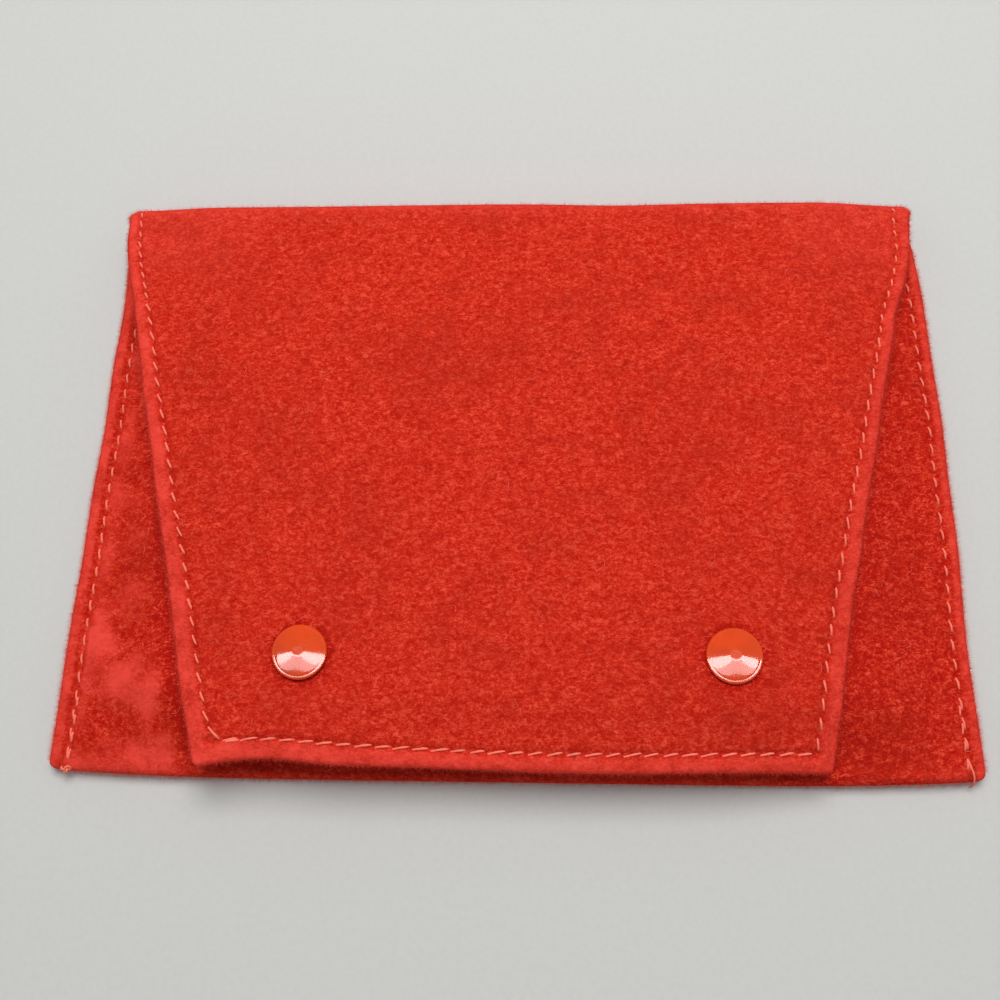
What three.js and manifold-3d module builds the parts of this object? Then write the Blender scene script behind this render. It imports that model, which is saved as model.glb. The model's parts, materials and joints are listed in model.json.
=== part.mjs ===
// Flat jewellery pouch of red velvet. One strip of velvet is folded up into a pocket, sewn down both sides,
// and carried over the top as a tapered flap that two snap fasteners hold shut. The pouch lies on its back
// panel: X is its width, +Y runs from the bottom fold to the top fold, and Z is up. Sizes are in millimetres.

import * as THREE from 'three';
import { mergeVertices } from 'three/addons/utils/BufferGeometryUtils.js';
import Module from 'manifold-3d';

// Outline
const POUCH_LENGTH = 116.5;
const BOTTOM_WIDTH = 170;
const TOP_WIDTH = 164;
const FLAP_HEM_WIDTH = 112;
const FLAP_HEM_SETBACK = 1.2;
const FLAP_LEAN = 0.65;
const MOUTH_SETBACK = 6;

// Cloth
const VELVET = 0.8;
const LINING = 0.4;
const PLY_GAP = 0.2;
const EDGE_ROUND = 0.7;
const LIP = 1.2;
const LIP_SLOPE = 0.2;
const JOIN_GAP = 0.3;

// Pocket and flap shape
const POCKET_CLEAR = 4.6;
const POCKET_RAMP = 18;
const BOTTOM_RAMP = 14;
const FOLD_DEPTH = 4;
const FOLD_BOW = 1.5;
const SIDE_DROOP = 2;
const HEM_DROOP = 2;
const DROOP_RUN = 20;
const HEM_DROOP_RUN = 13;

// Stitching
const STITCH = 3.5;
const SEAM_MARGIN = 3.6;
const SEAM_VALLEY = 0.5;
const SEAM_VALLEY_HALF = 0.7;
const THREAD_RADIUS = 0.24;
const THREAD_GAP = 0.12;
const STITCH_LIFT = 0.38;
const STITCH_TURN = 0.2;

// Snap fasteners
const SNAP_FROM_LEFT = 22.7;
const SNAP_FROM_RIGHT = 21;
const SNAP_ABOVE_HEM = 19;
const CAP_RADIUS = 5;
const CAP_HEIGHT = 2;
const CAP_DIMPLE_RADIUS = 1.5;
const CAP_DIMPLE = 0.1;
const SHEET_METAL = 0.35;
const POST_RADIUS = 1.5;
const STUD_POST_RADIUS = 0.95;
const STUD_FLANGE_RADIUS = 3.6;
const STUD_HEAD_RADIUS = 1.78;
const STUD_NECK_RADIUS = 1.48;
const STUD_HEAD_HEIGHT = 1.65;
const SOCKET_RADIUS = 4;
const SOCKET_HEIGHT = 2.4;
const SOCKET_ENTRY = 0.37;
const MATE_GAP = 0.25;
const SPRING_WIRE = 0.25;
const SPRING_GRIP = 0.13;
const SPRING_SPLIT_DEG = 30;
const SEAT = 0.1;
const HOLE_GAP = 0.2;
const TURN_STEPS = 18;

// Levels and lines that follow from the sizes above
const WALL = VELVET + PLY_GAP + LINING;
const BOTTOM_Y = -POUCH_LENGTH / 2;
const FOLD_Y = POUCH_LENGTH / 2 - FOLD_DEPTH;
const MOUTH_Y = FOLD_Y - MOUTH_SETBACK;
const HEM_Y = BOTTOM_Y + FLAP_HEM_SETBACK;
const SEAM_TOP = 2 * WALL + PLY_GAP;
const POCKET_RISE = POCKET_CLEAR - PLY_GAP;
const FRONT_TOP = SEAM_TOP + POCKET_RISE;
const SNAP_STACK = SEAT + SHEET_METAL + MATE_GAP + SOCKET_HEIGHT + SEAT;
const FLAP_TOP = FRONT_TOP + SNAP_STACK + WALL;
const FOLD_RADIUS = FLAP_TOP / 2;
const END_RADIUS = SEAM_TOP / 2;
const SNAP_Y = HEM_Y + SNAP_ABOVE_HEM;
const LINING_INSET = LIP + LIP_SLOPE + PLY_GAP;

const wasm = await Module();
wasm.setup();

const smooth = (t) => THREE.MathUtils.smoothstep(t, 0, 1);
const lerp = THREE.MathUtils.lerp;
const along = (y, low, high) => (y - low) / (high - low);

// Side edges of the pocket and of the flap at a given y
function pocketEdges(y) {
  const half = lerp(BOTTOM_WIDTH, TOP_WIDTH, along(y, BOTTOM_Y, FOLD_Y)) / 2;
  return [-half, half];
}

function flapEdges(y) {
  const down = along(y, FOLD_Y, HEM_Y);
  const half = lerp(TOP_WIDTH, FLAP_HEM_WIDTH, down) / 2;
  const shift = FLAP_LEAN * down;
  return [shift - half, shift + half];
}

// Outer faces of the front panel and of the flap, as heights over the plan
function frontHeight(x, y) {
  const [left, right] = pocketEdges(y);
  const fromSide = Math.min(x - left, right - x) - SEAM_MARGIN - SEAM_VALLEY_HALF;
  const fromBottom = y - BOTTOM_Y - END_RADIUS;
  return SEAM_TOP + POCKET_RISE * smooth(fromSide / POCKET_RAMP) * smooth(fromBottom / BOTTOM_RAMP);
}

function flapHeight(x, y) {
  const [left, right] = flapEdges(y);
  const fromSide = Math.min(x - left, right - x);
  const sides = SIDE_DROOP * (1 - smooth(fromSide / DROOP_RUN)) * smooth((FOLD_Y - y) / DROOP_RUN);
  const hem = HEM_DROOP * (1 - smooth((y - HEM_Y) / HEM_DROOP_RUN));
  return FLAP_TOP - sides - hem;
}

// Rows of cloth. Each row knows its side edges, where its outer face lies, which way is inwards,
// and how far it is from a finished end.
function flatRow(y, edges, height, inward, fromEnd = Infinity) {
  return { edges: edges(y), fromEnd, place: (x) => ({ y, z: height(x, y), inY: 0, inZ: inward }) };
}

function bottomFoldRow(angle) {
  const y = BOTTOM_Y + END_RADIUS + END_RADIUS * Math.cos(angle);
  const z = END_RADIUS + END_RADIUS * Math.sin(angle);
  const place = () => ({ y, z, inY: -Math.cos(angle), inZ: -Math.sin(angle) });
  return { edges: pocketEdges(BOTTOM_Y), fromEnd: Infinity, place };
}

function topFoldRow(angle) {
  const edges = pocketEdges(FOLD_Y);
  const place = (x) => {
    const depth = FOLD_DEPTH - FOLD_BOW * (x / edges[1]) ** 2;
    const y = FOLD_Y + depth * Math.cos(angle);
    const z = FOLD_RADIUS + FOLD_RADIUS * Math.sin(angle);
    return { y, z, inY: -Math.cos(angle), inZ: -Math.sin(angle) };
  };
  return { edges, fromEnd: Infinity, place };
}

const steps = (from, to, count) => Array.from({ length: count + 1 }, (_, i) => lerp(from, to, i / count));

// Distances in from a finished edge at which the two faces of a ply have their lines
const RIM_LINES = [0, EDGE_ROUND * 0.3, EDGE_ROUND];
const SEAM_LINES = [-SEAM_VALLEY_HALF, 0, SEAM_VALLEY_HALF].map((offset) => SEAM_MARGIN + offset);
const OUTER_LINES = [...RIM_LINES, ...SEAM_LINES];
const INNER_LINES = [...RIM_LINES, LIP, LIP + LIP_SLOPE, SEAM_MARGIN + SEAM_VALLEY_HALF];
const LINING_LINES = [LINING_INSET, SEAM_MARGIN + SEAM_VALLEY_HALF];
const FIELD_LINES = steps(0, POCKET_RAMP, 5).slice(1).map((d) => SEAM_MARGIN + SEAM_VALLEY_HALF + d);

const RIM_DEPTHS = [0.35, 0.1, 0].map((share) => share * WALL);

// How deep the velvet's outer face lies below the panel's face, at a distance from its edge
function outerDepth(fromEdge, sewn) {
  const rim = RIM_LINES.findIndex((line) => Math.abs(line - fromEdge) < 1e-6);
  if (rim >= 0) {
    return RIM_DEPTHS[rim];
  }
  const offSeam = Math.abs(fromEdge - SEAM_MARGIN) / SEAM_VALLEY_HALF;
  return sewn ? SEAM_VALLEY * Math.max(0, 1 - offSeam) : 0;
}

// The velvet's inner face, with the lip that is turned round the edge of the lining
function innerDepth(fromEdge) {
  const rim = RIM_LINES.findIndex((line) => Math.abs(line - fromEdge) < 1e-6);
  if (rim >= 0) {
    return WALL - RIM_DEPTHS[rim];
  }
  return fromEdge < LIP + LIP_SLOPE / 2 ? WALL : VELVET;
}

// One face of a ply: a grid of points, row by row and from the left edge to the right. A face that is
// curved across its middle gets further columns there.
function face(rows, lines, depthAt, middles) {
  return rows.map((row) => {
    const [left, right] = row.edges;
    const inmost = lines.at(-1);
    const middle = steps(left + inmost, right - inmost, middles + 1).slice(1, -1);
    const columns = [
      ...lines.map((d) => [left + d, d]),
      ...middle.map((x) => [x, inmost]),
      ...lines.map((d) => [right - d, d]).reverse(),
    ];
    return columns.map(([x, fromSide]) => {
      const { y, z, inY, inZ } = row.place(x);
      const depth = depthAt(fromSide, row.fromEnd);
      return new THREE.Vector3(x, y + inY * depth, z + inZ * depth);
    });
  });
}

// Closed sheet between an outer and an inner face with the same number of rows and columns
function sheet(outer, inner) {
  const rowCount = outer.length;
  const columnCount = outer[0].length;
  const points = [...outer.flat(), ...inner.flat()];
  const at = (side, row, column) => (side * rowCount + row) * columnCount + column;
  const index = [];
  const quad = (a, b, c, d) => index.push(a, b, c, a, c, d);
  for (let r = 0; r < rowCount - 1; r += 1) {
    for (let c = 0; c < columnCount - 1; c += 1) {
      quad(at(0, r, c), at(0, r, c + 1), at(0, r + 1, c + 1), at(0, r + 1, c));
      quad(at(1, r, c), at(1, r + 1, c), at(1, r + 1, c + 1), at(1, r, c + 1));
    }
    const last = columnCount - 1;
    quad(at(0, r, 0), at(0, r + 1, 0), at(1, r + 1, 0), at(1, r, 0));
    quad(at(0, r, last), at(1, r, last), at(1, r + 1, last), at(0, r + 1, last));
  }
  for (let c = 0; c < columnCount - 1; c += 1) {
    const last = rowCount - 1;
    quad(at(0, 0, c), at(1, 0, c), at(1, 0, c + 1), at(0, 0, c + 1));
    quad(at(0, last, c), at(0, last, c + 1), at(1, last, c + 1), at(1, last, c));
  }
  return new THREE.BufferGeometry().setFromPoints(points).setIndex(index);
}

// The velvet and the lining of one panel. Rows run so that +Y follows from row to row on an upward face.
function velvetPly(outerRows, innerRows, { endIsSewn = false, middles = 0 } = {}) {
  const above = (side, end) => outerDepth(Math.min(side, end), side <= end || endIsSewn);
  const below = (side, end) => innerDepth(Math.min(side, end));
  const outer = face(outerRows, [...OUTER_LINES, ...FIELD_LINES], above, middles);
  const inner = face(innerRows, [...INNER_LINES, ...FIELD_LINES], below, middles);
  return sheet(outer, inner);
}

function liningPly(rows, { middles = 0 } = {}) {
  const lines = [...LINING_LINES, ...FIELD_LINES];
  const outer = face(rows, lines, () => VELVET + PLY_GAP, middles);
  const inner = face(rows, lines, () => WALL, middles);
  return sheet(outer, inner);
}

// Solids with their points merged, ready to be cut
function solid(geometry) {
  const bare = geometry.clone();
  bare.deleteAttribute('normal');
  bare.deleteAttribute('uv');
  const merged = mergeVertices(bare, 1e-4);
  const vertProperties = new Float32Array(merged.attributes.position.array);
  const triVerts = new Uint32Array(merged.index.array);
  return new wasm.Manifold(new wasm.Mesh({ numProp: 3, vertProperties, triVerts }));
}

function cut(geometry, tools) {
  const left = tools.reduce((body, tool) => body.subtract(solid(tool)), solid(geometry));
  const mesh = left.getMesh();
  const result = new THREE.BufferGeometry();
  result.setAttribute('position', new THREE.BufferAttribute(mesh.vertProperties, 3));
  return result.setIndex(new THREE.BufferAttribute(mesh.triVerts, 1));
}

// Turned pieces stand on the Z axis of their snap
function turned(profile) {
  const points = profile.map(([radius, height]) => new THREE.Vector2(radius, height));
  return new THREE.LatheGeometry(points, TURN_STEPS).rotateX(Math.PI / 2);
}

function punch(radius, x) {
  const tool = new THREE.CylinderGeometry(radius, radius, 2 * FLAP_TOP, TURN_STEPS);
  return tool.rotateX(Math.PI / 2).translate(x, SNAP_Y, FLAP_TOP / 2);
}

const pouch = new THREE.Group();
pouch.name = 'jewellery_pouch';
const pocket = new THREE.Group();
const flap = new THREE.Group();
pouch.add(pocket, flap);

function addPiece(parent, name, geometry, finish) {
  const shaded = geometry.index ? geometry.toNonIndexed() : geometry;
  shaded.computeVertexNormals();
  const piece = new THREE.Mesh(shaded, new THREE.MeshStandardMaterial(finish));
  piece.name = name;
  parent.add(piece);
}

const VELVET_FINISH = { color: 0xcb271b, roughness: 0.95, metalness: 0 };
const LINING_FINISH = { color: 0xb8221a, roughness: 0.95, metalness: 0 };
const THREAD_FINISH = { color: 0xee6c5c, roughness: 0.6, metalness: 0 };
const ENAMEL_FINISH = { color: 0xdb4420, roughness: 0.15, metalness: 0 };
const NICKEL_FINISH = { color: 0xc6c4bf, roughness: 0.3, metalness: 1 };
const SPRING_FINISH = { color: 0x9fa2a6, roughness: 0.3, metalness: 1 };

// Where the snaps sit across the pouch, in from the two sides of the flap
const [snapLeftEdge, snapRightEdge] = flapEdges(SNAP_Y);
const snaps = { left: snapLeftEdge + SNAP_FROM_LEFT, right: snapRightEdge - SNAP_FROM_RIGHT };
const snapXs = Object.values(snaps);

// Back panel, flat on the table with its outer face down. Its rows run towards -Y because it faces down.
const backRows = [FOLD_Y - JOIN_GAP, BOTTOM_Y + END_RADIUS + JOIN_GAP].map((y) => {
  return flatRow(y, pocketEdges, () => 0, 1);
});
addPiece(pocket, 'back_panel', velvetPly(backRows, backRows), VELVET_FINISH);
addPiece(pocket, 'back_lining', liningPly(backRows), LINING_FINISH);

// Front panel: a finished mouth at the top, a crowned field, and the fold round the bottom edge
const foldAngles = steps(3 * Math.PI / 2, Math.PI / 2, 6);
const frontRampRows = steps(BOTTOM_Y + END_RADIUS, BOTTOM_Y + END_RADIUS + BOTTOM_RAMP, 5).slice(1);
const frontFieldRows = [
  ...foldAngles.map(bottomFoldRow),
  ...frontRampRows.map((y) => flatRow(y, pocketEdges, frontHeight, -1)),
];
const mouthRow = (d) => flatRow(MOUTH_Y - d, pocketEdges, frontHeight, -1, d);
const mouthRows = (lines) => [...lines].reverse().map(mouthRow);
const frontRows = (lines) => [...frontFieldRows, ...mouthRows(lines)];
const stemHoles = snapXs.map((x) => punch(STUD_POST_RADIUS + HOLE_GAP, x));
const frontVelvet = velvetPly(frontRows(OUTER_LINES), frontRows(INNER_LINES));
addPiece(pocket, 'front_panel', cut(frontVelvet, stemHoles), VELVET_FINISH);
addPiece(pocket, 'front_lining', cut(liningPly(frontRows(LINING_LINES)), stemHoles), LINING_FINISH);

// Flap: a sewn hem at the bottom, drooping sides, and a plain end where it runs into the top fold
const flapRow = (y, fromEnd) => flatRow(y, flapEdges, flapHeight, -1, fromEnd);
const hemRows = (lines) => lines.map((d) => flapRow(HEM_Y + d, d));
const flapFieldRows = [
  ...steps(SEAM_MARGIN + SEAM_VALLEY_HALF, HEM_DROOP_RUN, 3).slice(1).map((d) => flapRow(HEM_Y + d)),
  ...steps(FOLD_Y - DROOP_RUN, FOLD_Y - JOIN_GAP, 4).map((y) => flapRow(y)),
];
const flapRows = (lines) => [...hemRows(lines), ...flapFieldRows];
const postHoles = snapXs.map((x) => punch(POST_RADIUS + HOLE_GAP, x));
const flapVelvet = velvetPly(flapRows(OUTER_LINES), flapRows(INNER_LINES), { endIsSewn: true });
addPiece(flap, 'flap_panel', cut(flapVelvet, postHoles), VELVET_FINISH);
addPiece(flap, 'flap_lining', cut(liningPly(flapRows(LINING_LINES)), postHoles), LINING_FINISH);

// Top fold: the same strip carried round from the back panel to the flap
const rollRows = steps(Math.PI / 2, -Math.PI / 2, 8).map(topFoldRow);
const bowed = { middles: 5 };
addPiece(pocket, 'top_fold', velvetPly(rollRows, rollRows, bowed), VELVET_FINISH);
addPiece(pocket, 'top_fold_lining', liningPly(rollRows, bowed), LINING_FINISH);

// Needle thread: a run of stitches that rises over the cloth and dips into the seam valley between stitches
function stitchRun(from, to) {
  const count = Math.max(2, Math.round(from.distanceTo(to) / STITCH));
  const points = [];
  for (let i = 0; i < count; i += 1) {
    points.push([i / count, 0], [(i + STITCH_TURN) / count, 1], [(i + 1 - STITCH_TURN) / count, 1]);
  }
  return points.map(([t, up]) => ({ plan: from.clone().lerp(to, t), up }));
}

function thread(corners, height) {
  const runs = corners.slice(1).map((to, i) => stitchRun(corners[i], to));
  const path = [...runs.flat(), { plan: corners.at(-1), up: 0 }];
  const rings = path.map(({ plan, up }, i) => {
    const before = path[Math.max(0, i - 1)].plan;
    const after = path[Math.min(path.length - 1, i + 1)].plan;
    const ahead = after.clone().sub(before).normalize();
    const level = height(plan.x, plan.y) - SEAM_VALLEY + THREAD_GAP + THREAD_RADIUS + up * STITCH_LIFT;
    return [[0, -1], [1, 0], [0, 1], [-1, 0]].map(([across, rise]) => {
      const x = plan.x + ahead.y * across * THREAD_RADIUS;
      const y = plan.y - ahead.x * across * THREAD_RADIUS;
      return new THREE.Vector3(x, y, level + rise * THREAD_RADIUS);
    });
  });
  return loft(rings);
}

// Closed tube through rings of points, with flat ends
function loft(rings) {
  const size = rings[0].length;
  const index = [];
  for (let r = 0; r < rings.length - 1; r += 1) {
    for (let i = 0; i < size; i += 1) {
      const j = (i + 1) % size;
      const [a, b] = [r * size + i, r * size + j];
      index.push(a, b + size, b, a, a + size, b + size);
    }
  }
  const last = (rings.length - 1) * size;
  for (let i = 1; i < size - 1; i += 1) {
    index.push(0, i, i + 1, last, last + i + 1, last + i);
  }
  return new THREE.BufferGeometry().setFromPoints(rings.flat()).setIndex(index);
}

const onPocket = (side, y) => new THREE.Vector2(pocketEdges(y)[side] + (side ? -1 : 1) * SEAM_MARGIN, y);
const onFlap = (side, y) => new THREE.Vector2(flapEdges(y)[side] + (side ? -1 : 1) * SEAM_MARGIN, y);
const seamTopY = MOUTH_Y - SEAM_MARGIN;
const seamLowY = BOTTOM_Y + END_RADIUS;
['left', 'right'].forEach((name, side) => {
  const line = [onPocket(side, seamTopY), onPocket(side, seamLowY)];
  addPiece(pocket, `${name}_seam_thread`, thread(line, frontHeight), THREAD_FINISH);
});
const flapCorners = [
  onFlap(0, FOLD_Y - JOIN_GAP),
  onFlap(0, HEM_Y + SEAM_MARGIN),
  onFlap(1, HEM_Y + SEAM_MARGIN),
  onFlap(1, FOLD_Y - JOIN_GAP),
];
addPiece(flap, 'flap_thread', thread(flapCorners, flapHeight), THREAD_FINISH);

// Snap cap: an enamelled dome with a dimpled crown, curled in below to hold the flange of its post
const capBase = FLAP_TOP + SEAT;
const capWall = CAP_RADIUS - SHEET_METAL;
const flangeRadius = capWall - SEAT;
const flangeLow = capBase + SHEET_METAL + SEAT;
const flangeHigh = flangeLow + SHEET_METAL;
const crown = capBase + CAP_HEIGHT;
const capProfile = [
  [0, crown - CAP_DIMPLE],
  [CAP_DIMPLE_RADIUS * 0.75, crown - CAP_DIMPLE * 0.8],
  [CAP_DIMPLE_RADIUS * 1.15, crown],
  [CAP_RADIUS * 0.6, crown - CAP_HEIGHT * 0.08],
  [CAP_RADIUS * 0.84, crown - CAP_HEIGHT * 0.3],
  [CAP_RADIUS * 0.97, crown - CAP_HEIGHT * 0.58],
  [CAP_RADIUS, capBase + SHEET_METAL],
  [capWall, capBase],
  [capWall - 2 * SHEET_METAL, capBase],
  [capWall - 2 * SHEET_METAL, capBase + SHEET_METAL],
  [capWall, capBase + SHEET_METAL],
  [capWall, flangeHigh + SEAT],
  [CAP_RADIUS * 0.6, crown - CAP_HEIGHT * 0.08 - SHEET_METAL],
  [0, crown - CAP_DIMPLE - SHEET_METAL],
].reverse();

// Post of the cap: a flange with a hollow stem that runs through the flap and is flared inside the socket
const flapUnder = FLAP_TOP - WALL;
const socketTop = flapUnder - SEAT;
const socketFloor = socketTop - SHEET_METAL;
const postBore = POST_RADIUS - SHEET_METAL;
const postFlare = POST_RADIUS + 2 * SHEET_METAL;
const flareTop = socketFloor - SEAT;
const postProfile = [
  [0, flangeHigh],
  [flangeRadius, flangeHigh],
  [flangeRadius, flangeLow],
  [POST_RADIUS, flangeLow],
  [POST_RADIUS, flareTop],
  [postFlare, flareTop],
  [postFlare, flareTop - SHEET_METAL * 0.6],
  [postBore, flareTop - SHEET_METAL * 0.6],
  [postBore, flangeLow],
  [0, flangeLow],
].reverse();

// Socket: a cup whose lower lip turns in to carry the ring spring round the entry
const socketLow = socketTop - SOCKET_HEIGHT;
const socketHole = POST_RADIUS + HOLE_GAP / 2;
const entry = STUD_HEAD_RADIUS + SOCKET_ENTRY;
const socketInside = SOCKET_RADIUS - SHEET_METAL;
const socketProfile = [
  [socketHole, socketTop],
  [SOCKET_RADIUS * 0.88, socketTop],
  [SOCKET_RADIUS, socketTop - SHEET_METAL],
  [SOCKET_RADIUS, socketLow + 2 * SHEET_METAL],
  [SOCKET_RADIUS * 0.85, socketLow],
  [entry, socketLow],
  [entry, socketLow + SHEET_METAL],
  [SOCKET_RADIUS * 0.8, socketLow + SHEET_METAL],
  [socketInside, socketLow + 2.5 * SHEET_METAL],
  [socketInside, socketFloor],
  [socketHole, socketFloor],
  [socketHole, socketTop],
].reverse();

// Ring spring: a split wire ring, a little narrower than the head of the stud, that grips under it
const springInner = STUD_HEAD_RADIUS - SPRING_GRIP;
const springZ = socketLow + SHEET_METAL + SEAT + SPRING_WIRE;
function springRing() {
  const split = THREE.MathUtils.degToRad(SPRING_SPLIT_DEG);
  const middle = springInner + SPRING_WIRE;
  const path = new THREE.EllipseCurve(0, 0, middle, middle, 0, 2 * Math.PI - split);
  const rings = path.getPoints(TURN_STEPS).map((point) => {
    const out = point.clone().normalize();
    return steps(0, 2 * Math.PI, 6).slice(1).map((turn) => {
      const reach = middle + SPRING_WIRE * Math.cos(turn);
      return new THREE.Vector3(out.x * reach, out.y * reach, springZ + SPRING_WIRE * Math.sin(turn));
    });
  });
  return loft(rings);
}

// Stud: a flange on the front panel with a necked, hollow head
const studLow = FRONT_TOP + SEAT;
const studFlange = studLow + SHEET_METAL;
const studTop = studFlange + STUD_HEAD_HEIGHT;
const studBore = STUD_POST_RADIUS + HOLE_GAP / 2;
const studProfile = [
  [studBore, studLow],
  [STUD_FLANGE_RADIUS, studLow],
  [STUD_FLANGE_RADIUS, studFlange],
  [STUD_HEAD_RADIUS, studFlange + SEAT],
  [STUD_NECK_RADIUS, springZ - SPRING_WIRE],
  [STUD_NECK_RADIUS, springZ + SPRING_WIRE / 2],
  [STUD_HEAD_RADIUS, springZ + 2 * SPRING_WIRE],
  [STUD_HEAD_RADIUS * 0.92, studTop - SEAT],
  [STUD_HEAD_RADIUS * 0.75, studTop],
  [studBore, studTop],
  [studBore, studLow],
];

// Post of the stud: a flange inside the pocket with a hollow stem that is flared over the head of the stud
const frontUnder = FRONT_TOP - WALL;
const stemLow = frontUnder - SEAT;
const stemTop = studTop + SEAT / 2;
const stemBore = STUD_POST_RADIUS - SHEET_METAL;
const stemProfile = [
  [stemBore, stemLow - SHEET_METAL],
  [STUD_FLANGE_RADIUS, stemLow - SHEET_METAL],
  [STUD_FLANGE_RADIUS, stemLow],
  [STUD_POST_RADIUS, stemLow],
  [STUD_POST_RADIUS, stemTop],
  [STUD_HEAD_RADIUS * 0.72, stemTop],
  [STUD_HEAD_RADIUS * 0.66, stemTop + SHEET_METAL / 2],
  [stemBore, stemTop + SHEET_METAL / 2],
  [stemBore, stemLow - SHEET_METAL],
];

// Each snap has an upper half on the flap and a lower half on the front panel
for (const [side, x] of Object.entries(snaps)) {
  const upper = new THREE.Group();
  const lower = new THREE.Group();
  upper.position.set(x, SNAP_Y, 0);
  lower.position.set(x, SNAP_Y, 0);
  flap.add(upper);
  pocket.add(lower);
  addPiece(upper, `${side}_snap_cap`, turned(capProfile), ENAMEL_FINISH);
  addPiece(upper, `${side}_snap_post`, turned(postProfile), NICKEL_FINISH);
  addPiece(upper, `${side}_snap_socket`, turned(socketProfile), NICKEL_FINISH);
  addPiece(upper, `${side}_snap_spring`, springRing(), SPRING_FINISH);
  addPiece(lower, `${side}_snap_stud`, turned(studProfile), NICKEL_FINISH);
  addPiece(lower, `${side}_stud_post`, turned(stemProfile), NICKEL_FINISH);
}

export default pouch;
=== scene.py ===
"""Velvet jewellery pouch with a flap and two snaps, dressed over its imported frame."""

import json
import math

import bpy
import numpy as np
from bpy.props import FloatProperty, FloatVectorProperty, PointerProperty
from bpy.types import Operator, Panel, PropertyGroup
from mathutils import Matrix, Vector


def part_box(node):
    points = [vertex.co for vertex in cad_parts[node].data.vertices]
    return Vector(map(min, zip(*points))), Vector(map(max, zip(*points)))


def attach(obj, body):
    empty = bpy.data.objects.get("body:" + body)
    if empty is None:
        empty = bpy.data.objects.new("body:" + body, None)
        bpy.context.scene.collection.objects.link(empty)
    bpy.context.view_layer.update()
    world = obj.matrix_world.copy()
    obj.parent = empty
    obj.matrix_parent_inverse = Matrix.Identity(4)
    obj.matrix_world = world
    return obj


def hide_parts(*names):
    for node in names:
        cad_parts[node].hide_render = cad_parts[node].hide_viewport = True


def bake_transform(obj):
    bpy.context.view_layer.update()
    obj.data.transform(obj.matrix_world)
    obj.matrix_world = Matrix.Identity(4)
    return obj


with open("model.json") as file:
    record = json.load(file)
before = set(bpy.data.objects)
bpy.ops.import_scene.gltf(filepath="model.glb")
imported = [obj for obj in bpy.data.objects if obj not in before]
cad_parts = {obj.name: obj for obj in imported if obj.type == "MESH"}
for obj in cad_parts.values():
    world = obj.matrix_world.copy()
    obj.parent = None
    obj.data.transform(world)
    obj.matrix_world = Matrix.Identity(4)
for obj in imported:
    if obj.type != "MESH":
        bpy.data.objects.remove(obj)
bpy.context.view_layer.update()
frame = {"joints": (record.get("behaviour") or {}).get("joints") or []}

bl_info = {
    "name": "Velvet Jewellery Pouch",
    "version": (1, 0, 0),
    "blender": (4, 5, 0),
    "location": "3D View > Sidebar > Pouch",
    "description": "Builds a flat velvet pouch with a stitched flap and two snaps",
    "category": "Object",
}

MM = 0.001
FRONT_LOW, FRONT_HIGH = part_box("front_panel")
ROLL_LOW, ROLL_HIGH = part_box("top_fold")
FLAP_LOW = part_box("flap_panel")[0]
FOLD_AXIS = next(joint for joint in frame["joints"] if joint["name"] == "flap_fold")["pos_m"]
SNAP_SIDES = ("left", "right")


def length(name, description, default):
    return FloatProperty(
        name=name, description=description, default=default, min=0, precision=5, unit="LENGTH"
    )


def colour(name, description, default):
    return FloatVectorProperty(
        name=name, description=description, default=default, size=3, min=0, max=1,
        subtype="COLOR_GAMMA",
    )


class PouchSizes(PropertyGroup):
    """Sizes of the cloth, the stitching and the thread"""

    bottom_width: length("Bottom width", "Width along the bottom fold", FRONT_HIGH.x - FRONT_LOW.x)
    top_width: length("Top width", "Width along the top fold", ROLL_HIGH.x - ROLL_LOW.x)
    hem_width: length("Hem width", "Width of the flap along its hem", 112 * MM)
    velvet: length("Velvet", "Thickness of the velvet", 0.8 * MM)
    lining: length("Lining", "Thickness of the lining", 0.4 * MM)
    turned_edge: length("Turned edge", "Thickness of velvet turned round the lining", 1.4 * MM)
    bead: length("Bead", "How far a turned edge puffs up", 0.2 * MM)
    valley: length("Valley", "How deep the stitching draws the velvet down", 0.42 * MM)
    seam_margin: length("Seam margin", "From a side edge of the pocket to its stitching", 3.3 * MM)
    flap_margin: length("Flap margin", "From a side edge of the flap to its stitching", 2.7 * MM)
    hem_margin: length("Hem margin", "From the hem to the start of its stitching", 4.0 * MM)
    stitch_pitch: length("Stitch pitch", "From one needle hole to the next", 3.4 * MM)
    stitch_length: length("Stitch length", "Part of a stitch that shows", 2.1 * MM)
    hem_stitch: length("Hem stitch", "Part of a stitch that shows along the hem", 2.9 * MM)
    thread_radius: length("Thread radius", "Half the thickness of the thread", 0.215 * MM)
    fibre_length: length("Fibre length", "Longest fibres that stand out along edges", 1.2 * MM)
    fibre_radius: length("Fibre radius", "Half the thickness of a fibre at its root", 0.022 * MM)


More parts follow.
